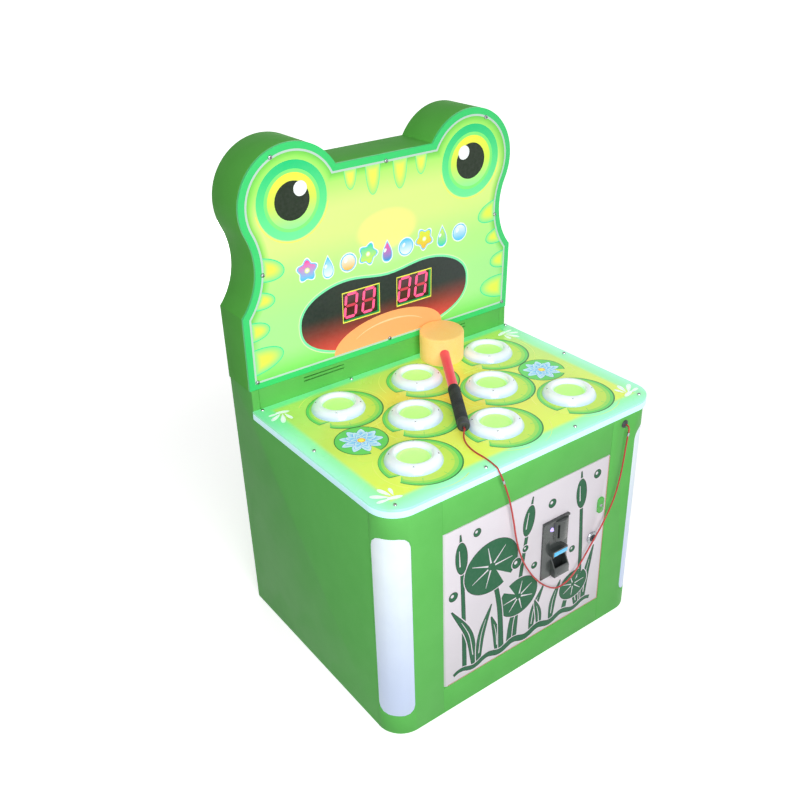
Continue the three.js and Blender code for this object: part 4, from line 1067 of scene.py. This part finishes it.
def grow(tree, kind, inputs, output):
    return addNode(tree, "GeometryNode" + kind, inputs).outputs[output]


def makeRingTree():
    group, given, result = newTree("ringsOnHoles", "GeometryNodeTree", {
        "Geometry": "Geometry", "Profile": "Object", "Bore": "Float", "Sides": "Int", "Finish": "Material",
    }, {"Geometry": "Geometry"})
    circle = grow(group, "CurvePrimitiveCircle", {
        "Resolution": given["Sides"], "Radius": given["Bore"]}, "Curve")
    section = grow(group, "ObjectInfo", {"Object": given["Profile"]}, "Geometry")
    outline = grow(group, "MeshToCurve", {"Mesh": section}, "Curve")
    swept = grow(group, "CurveToMesh", {"Curve": circle, "Profile Curve": outline}, "Mesh")
    placed = grow(group, "InstanceOnPoints", {"Points": given["Geometry"], "Instance": swept}, "Instances")
    real = grow(group, "RealizeInstances", {"Geometry": placed}, "Geometry")
    feed(group, result["Geometry"], grow(group, "SetMaterial", {
        "Geometry": real, "Material": given["Finish"]}, "Geometry"))
    return group


def pointsObject(name, points, edges=()):
    mesh = bpy.data.meshes.new(name)
    mesh.from_pydata([tuple(p) for p in points], list(edges), [])
    return addObject(name, mesh)


def grownFrom(holder, group, values, angle=40):
    # the tree's result as a plain mesh, with the holder gone
    modifier = holder.modifiers.new("tree", "NODES")
    modifier.node_group = group
    keys = {s.name: s.identifier for s in group.interface.items_tree if s.item_type == "SOCKET"}
    for label, value in values.items():
        modifier[keys[label]] = value
    bpy.context.view_layer.update()
    mesh = bpy.data.meshes.new_from_object(holder.evaluated_get(bpy.context.evaluated_depsgraph_get()))
    holder.modifiers.remove(modifier)
    bpy.data.objects.remove(holder)
    shape = bmesh.new()
    shape.from_mesh(mesh)
    bmesh.ops.remove_doubles(shape, verts=shape.verts, dist=1e-7)
    bmesh.ops.recalc_face_normals(shape, faces=shape.faces)
    shape.to_mesh(mesh)
    shape.free()
    return smoothed(mesh, angle)


def addRings():
    loop = softCorner(ring["profile"], 0.0012, 3)
    # a swept profile is turned over by the circle, so its heights are given downwards
    section = pointsObject("ringProfile", [(x, -z, 0) for x, z in loop],
                           [(i, (i + 1) % len(loop)) for i in range(len(loop))])
    holes = pointsObject("holePoints", [(p.x, p.y, deckHigh.z) for p in holePlaces])
    mesh = grownFrom(holes, makeRingTree(), {
        "Profile": section, "Bore": ring["bore"], "Sides": ring["sides"], "Finish": finishes["ring"]})
    bpy.data.objects.remove(section)
    mesh.materials.clear()
    solids = [f"hole_ring_{n}" for n in range(1, 9)]
    addPiece("holeRings", mesh, finishes["ring"], "cabinet", solids)
    print("rings up to", round(max(v.co.z for v in mesh.vertices), 4))


addRings()

# moles and their coils

mole = {"radius": 0.0285, "height": 0.0515, "rodRadius": 0.005, "sides": 64}
coil = {
    "radius": 0.019,
    "wire": 0.0005,
    "turns": 22,
    "flange": 0.024,
    "thickness": 0.004,      # of a flange
    "bore": 0.0058,
    "sides": 48,
}


def moleProfile(low, high):
    r, rod, body = mole["radius"], mole["rodRadius"], high - mole["height"]
    # from its rim in: the edge, a shallow groove and the crown
    crown = [(r, high - 0.0015), (r - 0.0032, high - 0.0006), (r - 0.0052, high - 0.0022),
             (r - 0.0085, high - 0.0018), (0, high)]
    return softCorner([(0, low), (rod, low), (rod, body), (r, body), *crown], 0.0012, 3)


def windingProfile(start, end):
    # four points for every turn of the wire, which swells a little
    steps = coil["turns"] * 4
    outer = [(coil["radius"] - coil["wire"] * (1 - abs(sin(pi * i / 4))), start + (end - start) * i / steps)
             for i in range(steps + 1)]
    return [(coil["bore"], start), *outer, (coil["bore"], end), (coil["bore"], start)]


def addMoles():
    for number, hole in enumerate(holePlaces, 1):
        spot = Matrix.Translation((hole.x, hole.y, 0))
        low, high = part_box(f"mole_{number}")
        shape = bmesh.new()
        turnedShape(shape, moleProfile(low.z, high.z), mole["sides"], spot)
        standIn(f"mole_{number}", shape, finishes["moleGreen"])
        low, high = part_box(f"solenoid_{number}")
        f, t, b = coil["flange"], coil["thickness"], coil["bore"]
        shape = bmesh.new()
        for z in (low.z, high.z - t):
            flange = softCorner([(b, z), (f, z), (f, z + t), (b, z + t), (b, z)], 0.0006, 2)
            turnedShape(shape, flange, coil["sides"], spot, 1)
        turnedShape(shape, windingProfile(low.z + t, high.z - t), coil["sides"], spot)
        standIn(f"solenoid_{number}", shape, [finishes["copper"], finishes["coilBlack"]])


addMoles()
print("moles ready")

# hammer, in the frame of its own solid

hammer = {
    "headRound": 0.004,
    "headSides": 72,
    "shaftRadius": 0.0094,
    "shaftInHead": 0.004,
    "shaftInGrip": 0.0083,   # from its end to the grip's end
    "gripRadius": 0.0115,
    "gripWaves": 60,
    "capLength": 0.016,
    "capHole": (0.0042, 0.0022),      # radius and depth of the hollow round the tether
    "collar": ((-0.0002, -0.0012), (0.0003, -0.0008), (0.0003, 0.0008), (-0.0002, 0.0012)),
}


def hammerFrame():
    # Y runs from the head's centre away from the grip, and Z stands on the head
    low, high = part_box("hammer_head")
    centre = (low + high) / 2
    points = [v.co for v in nodes["hammer_shaft"].data.vertices]
    along = (sum(points, Vector()) / len(points) - centre).normalized()
    up = (Vector((0, 0, 1)) - along * along.z).normalized()
    turn = Matrix(((-along).cross(up), -along, up)).transposed().to_4x4()
    return Matrix.Translation(centre) @ turn, along, centre


def addHammer():
    place, along, centre = hammerFrame()
    local = [place.inverted() @ v.co for v in nodes["hammer_head"].data.vertices]
    radius, half = max(hypot(p.x, p.y) for p in local), max(p.z for p in local)
    shape = bmesh.new()
    profile = softCorner([(0, -half), (radius, -half), (radius, half), (0, half)], hammer["headRound"], 6)
    turnedShape(shape, profile, hammer["headSides"], place)
    standIn("hammer_head", shape, finishes["foam"], 50)
    down = place @ Matrix.Rotation(pi / 2, 4, "X")   # Z runs from the head to the end of the grip
    reaches = [(v.co - centre).dot(along) for v in nodes["hammer_grip"].data.vertices]
    start, end = min(reaches), max(reaches)
    r, g = hammer["shaftRadius"], hammer["gripRadius"]
    shape = bmesh.new()
    inHead, inGrip = radius - hammer["shaftInHead"], end - hammer["shaftInGrip"]
    turnedShape(shape, [(0, inHead), (r, inHead), (r, inGrip), (0, inGrip)], 40, down)
    standIn("hammer_shaft", shape, finishes["sleeve"])
    shape = bmesh.new()
    cap, count = end - hammer["capLength"], hammer["gripWaves"]
    waves = [(g - 0.0005 + 0.0005 * sin(n * 1.1) ** 2, start + 0.002 + (cap - start - 0.004) * n / count)
             for n in range(count + 1)]
    turnedShape(shape, [(r + 0.0003, start + 0.004), (r + 0.0003, start), (g - 0.001, start), *waves,
                        (g - 0.001, cap), (r, cap)], 48, down)
    wide, deep = hammer["capHole"]
    outer = [(r, cap - 0.0005), (g - 0.0006, cap), (g, cap + 0.0025), (g, end - 0.004), (g - 0.0018, end)]
    hole = [(wide, end), (wide, end - deep), (deep, end - deep), (deep, end - 0.0006), (0, end - 0.0006)]
    turnedShape(shape, softCorner(outer + hole, 0.0006, 3), 48, down, 1)
    collar = [(g + by, cap + z) for by, z in hammer["collar"]]
    turnedShape(shape, collar, 48, down, 1)
    standIn("hammer_grip", shape, [finishes["grip"], finishes["blackPlastic"]], 50)


addHammer()
print("hammer ready")

# door, its artwork, and what it carries

pond = {
    "base": 0.018,          # above the door's foot
    "rims": (("door", 0.0030), ("outline", 0.0011), ("pond", 0)),
    # foot, head's place across and up, half of the head's height
    "reeds": ((-0.150, -0.158, 0.335, 0.033), (-0.030, -0.004, 0.343, 0.031), (0.140, 0.127, 0.345, 0.032)),
    # foot, how far it bends, height, width
    "blades": ((-0.128, -0.052, 0.150, 0.017), (-0.118, 0.030, 0.120, 0.016), (-0.072, -0.016, 0.090, 0.015),
               (0.012, 0.030, 0.098, 0.016), (0.034, -0.014, 0.070, 0.014), (0.064, 0.022, 0.086, 0.015),
               (0.152, 0.020, 0.128, 0.016), (0.134, -0.030, 0.064, 0.014)),
    # place, radius, notch, foot of the stem, width of a vein
    "leaves": ((-0.022, 0.182, 0.046, 2.3, -0.044, 0.0036), (-0.090, 0.285, 0.061, -0.9, -0.062, 0.0036),
               (0.122, 0.136, 0.036, 1.0, 0.098, 0.0026)),
    "veins": (0.9, 1.75, 2.65, 3.6, 4.5, 5.35),
    "bubbles": ((-0.030, 0.262, 0.0100), (-0.010, 0.285, 0.0060), (0.166, 0.372, 0.0085),
                (-0.176, 0.262, 0.0090), (0.112, 0.226, 0.0065), (0.014, 0.236, 0.0065),
                (-0.124, 0.374, 0.0075), (0.052, 0.356, 0.0085)),     # place and radius
    "edge": (0.0006, 0.0016, 0.0075),     # of its line: from the door's edge, width, start from the left
}


# each part of a plant is a function of how much wider it is drawn, with the loops of its veins


def stroke(points, startWidth, endWidth, swell=0.0):
    return lambda by: ribbon(points, startWidth + by * 2, endWidth + by * 2, 8, swell)


def reedParts(foot, x, z, tall, base):
    a = atan2(z - base, (x - foot) * 1.6)
    along, aside, half = cos(a), sin(a), 0.0125
    tip = [(x + along * s, z + aside * s) for s in (tall * 0.8, tall + 0.009, tall + 0.018)]
    stem = [(foot, base), (foot + (x - foot) * 0.35, base + (z - base) * 0.5), (x, z)]
    vein = [(x - 0.004 + s * along, z + s * aside) for s in (-0.016, 0.018)]
    return [(stroke(tip, 0.0045, 0.0012), []), (stroke(stem, 0.0085, 0.006), []),
            (lambda by: oval(x, z, tall + by, half + by, a), [ribbon(vein, 0.0026, 0.0012, 3)])]


def bladeParts(foot, bend, tall, wide, base):
    line = [(foot, base - 0.002), (foot + bend * 0.22, base + tall * 0.5), (foot + bend, base + tall)]
    vein = [(foot + bend * 0.05, base + tall * 0.16), line[1], (foot + bend * 0.56, base + tall * 0.76)]
    return [(stroke(line, 0.008, 0.0012, wide * 0.62), [ribbon(vein, 0.0022, 0.0008, 4)])]


def leafParts(x, z, radius, notch, foot, veinWidth, base):
    flatter = 0.9
    stem = [(foot, base), (foot * 0.75 + x * 0.25, base + (z - base) * 0.5), (x, z)]
    veins = [ribbon([(x + radius * s * cos(notch + a), z + radius * s * flatter * sin(notch + a))
                     for s in (0.14, 0.45, 0.80)], veinWidth, 0.0010, 4) for a in pond["veins"]]

    def pad(by):
        return [(u, z + (v - z) * flatter) for u, v in padLoop(x, z, radius + by, notch, 0.17, radius * 0.3)]
    return [(stroke(stem, 0.011, 0.0075), []), (pad, veins)]


def bubbleParts(x, z, radius, base):
    return [(lambda by: oval(x, z, radius + by),
             [oval(x - radius * 0.25, z + radius * 0.25, radius * 0.38, steps=24)])]


def plantShapes():
    # a pond's edge: round leaves on stems, reeds and blades, each with a dark outline and white veins
    base = doorLow.z + pond["base"]
    makers = {"reeds": reedParts, "blades": bladeParts, "leaves": leafParts, "bubbles": bubbleParts}
    parts = [part for kind, make in makers.items() for plant in pond[kind] for part in make(*plant, base)]
    crest = [(-0.176 + 0.0116 * i, base - 0.001 + 0.0045 * sin(i * 1.15)) for i in range(31)]
    parts.append((stroke(crest, 0.006, 0.006, 0.006), []))
    inset, wide, left = pond["edge"]
    left, right, foot, top = doorLow.x + left, doorHigh.x - inset, doorLow.z + inset, doorHigh.z - inset
    edge = [(left, foot), (right, foot), (right, top), (right - wide, top), (right - wide, foot + wide),
            (left, foot + wide)]
    layers = [("doorEdge", edge)]
    for outline, veins in parts:
        layers += [(colour, outline(by)) for colour, by in pond["rims"]]
        layers += [("door", vein) for vein in veins]
    return [flat(1 + n * 0.06, colour, loop) for n, (colour, loop) in enumerate(layers)]


coinLamp = {
    "place": (-0.0108, 0.0435),      # from the middle of the coin unit
    "plate": 0.0033,                 # the unit's plate stands out this far from the door
    "radius": 0.0031,
}
carried = {     # finish, bevel and its segments for each solid on the door
    "coin_acceptor": ("coinGrey", 0.0009, 3),
    "coin_reject_button": ("buttonBlue", 0.0008, 2),
    "coin_return_flap": ("coinDark", 0.0004, 2),
    "lock_housing": ("chrome", 0.0004, 2),
    "lock_plug": ("lockCore", 0.0003, 2),
    "turn_latch": ("latchGreen", 0.0006, 2),
}


def addDoor():
    dressed("service_door", finishes["doorWhite"], 0.0008)
    doorInks = printed("doorInks", 0.0, rough=0.4, coat=0.0, shine=0.15)
    addSheet("doorArtwork", plantShapes(), onDoor, doorInks, "door")
    for node, (finish, bevel, segments) in carried.items():
        dressed(node, finishes[finish], bevel, segments)
    low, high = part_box("coin_acceptor")
    x, z = ((a + b) / 2 + by for a, b, by in zip((low.x, low.z), (high.x, high.z), coinLamp["place"]))
    r = coinLamp["radius"]
    rim = r + 0.0012
    dome = [(rim, 0), (rim, 0.0008), (r, 0.0012), (r * 0.92, 0.0022), (r * 0.6, 0.0036), (0, 0.0042)]
    place = Matrix.Translation((x, doorLow.y - coinLamp["plate"], z)) @ Matrix.Rotation(pi / 2, 4, "X")
    shape = bmesh.new()
    turnedShape(shape, softCorner(dome, 0.0005, 3), 28, place)
    addPiece("coinLamp", meshOf(shape, "coinLamp"), finishes["lamp"], "door")


addDoor()
print("door ready")

# small screws, set on their points by a node tree

screw = {
    "sizes": {"Radius": 0.0036, "Height": 0.0016, "Cross Width": 0.0008, "Cross Length": 0.0042},
    # across and back from the deck's front edge
    "deck": [(-0.293, 0.414), (-0.294, 0.233), (-0.280, 0.019), (-0.102, 0.012), (0.105, 0.013),
             (0.281, 0.022), (0.300, 0.233), (0.304, 0.413), (-0.097, 0.416)],
    "deckEdge": 0.007,    # the least distance from the deck's back edge
    # across and above the floor
    "face": [(-0.2325, 0.945), (0.2315, 0.9425), (-0.001, 0.8995), (-0.2645, 0.747), (0.265, 0.7455),
             (-0.2935, 0.546), (0.2975, 0.5455), (0.002, 0.547)],
    "ringRadius": 0.0405,
    "ringHeight": 0.0131,
    "ringTurn": 53,       # degrees to the first of a ring's four screws
    "latchDrop": 0.017,   # from the latch's top to the middle of its plate
}


def makeScrewTree():
    group, given, result = newTree("screwsOnPoints", "GeometryNodeTree", {
        "Geometry": "Geometry", **{label: "Float" for label in screw["sizes"]}, "Turn": "Vector",
        "Head": "Material", "RecessShade": "Material"}, {"Geometry": "Geometry"})

    def times(label, factor):
        return calc(group, "MULTIPLY", given[label], factor)

    def cone(low, top, depth):
        return grow(group, "MeshCone", {
            "Vertices": 20, "Radius Bottom": times("Radius", low), "Radius Top": times("Radius", top),
            "Depth": times("Height", depth)}, "Mesh")

    def bar(wide, long):
        size = addNode(group, "ShaderNodeCombineXYZ", {
            "X": given[wide], "Y": given[long], "Z": times("Height", 0.3)})
        return grow(group, "MeshCube", {"Size": size.outputs[0]}, "Mesh")

    def lifted(part, heights):
        rise = addNode(group, "ShaderNodeCombineXYZ", {"Z": times("Height", heights)})
        return grow(group, "Transform", {"Geometry": part, "Translation": rise.outputs[0]}, "Geometry")

    def joined(*parts):
        made = addNode(group, "GeometryNodeJoinGeometry")
        for part in parts:
            group.links.new(part, made.inputs[0])
        return made.outputs[0]

    def painted(part, label):
        return grow(group, "SetMaterial", {"Geometry": part, "Material": given[label]}, "Geometry")
    top = painted(joined(cone(1, 0.82, 1), lifted(cone(0.82, 0.45, 0.35), 1)), "Head")
    # the dark raised cross is painted shade for the recess in the head
    cross = joined(bar("Cross Width", "Cross Length"), bar("Cross Length", "Cross Width"))
    turn = addNode(group, "FunctionNodeEulerToRotation", {"Euler": given["Turn"]}).outputs[0]
    placed = grow(group, "InstanceOnPoints", {
        "Points": given["Geometry"], "Instance": joined(top, painted(lifted(cross, 1.24), "RecessShade")),
        "Rotation": turn}, "Instances")
    feed(group, result["Geometry"], grow(group, "RealizeInstances", {"Geometry": placed}, "Geometry"))
    return group


def addScrews():
    tree = makeScrewTree()
    depth = deckHigh.y - deckLow.y - screw["deckEdge"]
    low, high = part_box("turn_latch")
    turns = [radians(screw["ringTurn"] + 90 * i) for i in range(4)]
    groups = {
        "deckScrews": ([(x, deckLow.y + min(y, depth), deckHigh.z + 0.0002) for x, y in screw["deck"]],
                       1.0, (0, 0, 0.4), "cabinet"),
        "faceScrews": ([onFace @ Vector((x, z, 0.0002)) for x, z in screw["face"]],
                       1.2, (pi / 2 + atan(lean), 0.5, 0), "cabinet"),
        "ringScrews": ([(p.x + screw["ringRadius"] * cos(a), p.y + screw["ringRadius"] * sin(a),
                         deckHigh.z + screw["ringHeight"]) for p in holePlaces for a in turns],
                       0.62, (0, 0, 0.2), "cabinet"),
        "latchScrew": ([((low.x + high.x) / 2, low.y - 0.0001, high.z - screw["latchDrop"])],
                       0.9, (pi / 2, 0.3, 0), bodyOf("turn_latch")),
    }
    for name, (points, size, turn, body) in groups.items():
        values = {label: value * size for label, value in screw["sizes"].items()}
        values |= {"Turn": turn, "Head": finishes["screw"], "RecessShade": finishes["recess"]}
        mesh = grownFrom(pointsObject(name + "Points", points), tree, values, 30)
        addPiece(name, mesh, [], body)


addScrews()
print("screws ready")

# studio: a pale floor, soft light, and white behind

studio = {
    # place, target, size and power of each lamp
    "lamps": {
        "key": ((-0.75, -1.75, 1.3), (0.0, -0.2, 0.55), 1.0, 31),
        "fill": ((2.8, 0.3, 1.2), (0.0, 0.0, 0.45), 1.6, 14),
        "back": ((0.6, 2.8, 0.55), (0.0, 0.0, 0.5), 1.1, 16),
        "top": ((0.0, 0.2, 3.2), (0.0, 0.0, 0.4), 2.0, 1),
    },
    "mirrored": "key",           # the only lamp that shows in reflections
    "world": 0.25,
    "floorColour": (0.93, 0.93, 0.93, 1),
    "floorToOthers": (0.5, 0.5, 0.5, 1),
    "floorReach": 40.0,
    "floorLift": (0.56, 1.0),    # light that only the camera sees on the floor, near and far
    "floorFade": (0.9, 3.0),     # distances from the middle between which it changes
}


def toTheEye(tree, seen, otherwise):
    # the camera, mirrors and glass see the first shader, and everything else gets the second
    path = addNode(tree, "ShaderNodeLightPath").outputs
    share = calc(tree, "MAXIMUM", path["Is Glossy Ray"], path["Is Transmission Ray"])
    share = calc(tree, "MAXIMUM", path["Is Camera Ray"], share)
    output = next(n for n in tree.nodes if n.type in ("OUTPUT_WORLD", "OUTPUT_MATERIAL"))
    mixed = addNode(tree, "ShaderNodeMixShader", {0: share, 1: otherwise, 2: seen})
    feed(tree, output.inputs["Surface"], mixed.outputs[0])


def addLamps():
    for name, (place, target, size, power) in studio["lamps"].items():
        data = bpy.data.lights.new(name, "AREA")
        data.size, data.energy = size, power
        lamp = addObject(name, data)
        lamp.location = place
        lamp.visible_glossy = name == studio["mirrored"]
        lamp.rotation_euler = (Vector(target) - Vector(place)).to_track_quat("-Z", "Y").to_euler()


def addWorld():
    world = bpy.data.worlds.new("studio")
    bpy.context.scene.world = world
    world.use_nodes = True
    white, soft = (addNode(world.node_tree, "ShaderNodeBackground", {
        "Color": (1, 1, 1, 1), "Strength": strength}).outputs[0] for strength in (1.0, studio["world"]))
    toTheEye(world.node_tree, white, soft)


def addFloor():
    reach = studio["floorReach"]
    mesh = bpy.data.meshes.new("floor")
    corners = [(-reach, -reach, 0), (reach, -reach, 0), (reach, reach, 0), (-reach, reach, 0)]
    mesh.from_pydata(corners, [], [(0, 1, 2, 3)])
    made, tree, shader, place = newFinish("floorWhite")
    away = addNode(tree, "ShaderNodeVectorMath", {0: place}, operation="LENGTH").outputs["Value"]
    lift = ramp(tree, away, *studio["floorFade"], *studio["floorLift"])
    for key, value in (("Base Color", studio["floorColour"]), ("Roughness", 0.9), ("Specular IOR Level", 0.0),
                       ("Emission Color", blendColour(tree, lift, ink("000000"), ink("ffffff"))),
                       ("Emission Strength", 1.0)):
        feed(tree, shader.inputs[key], value)
    matt = addNode(tree, "ShaderNodeBsdfDiffuse", {"Color": studio["floorToOthers"]})
    toTheEye(tree, shader.outputs[0], matt.outputs[0])
    mesh.materials.append(made)
    addObject("floor", mesh)


addLamps()
addWorld()
addFloor()
bpy.context.scene.view_settings.view_transform = "Standard"
print("studio ready")
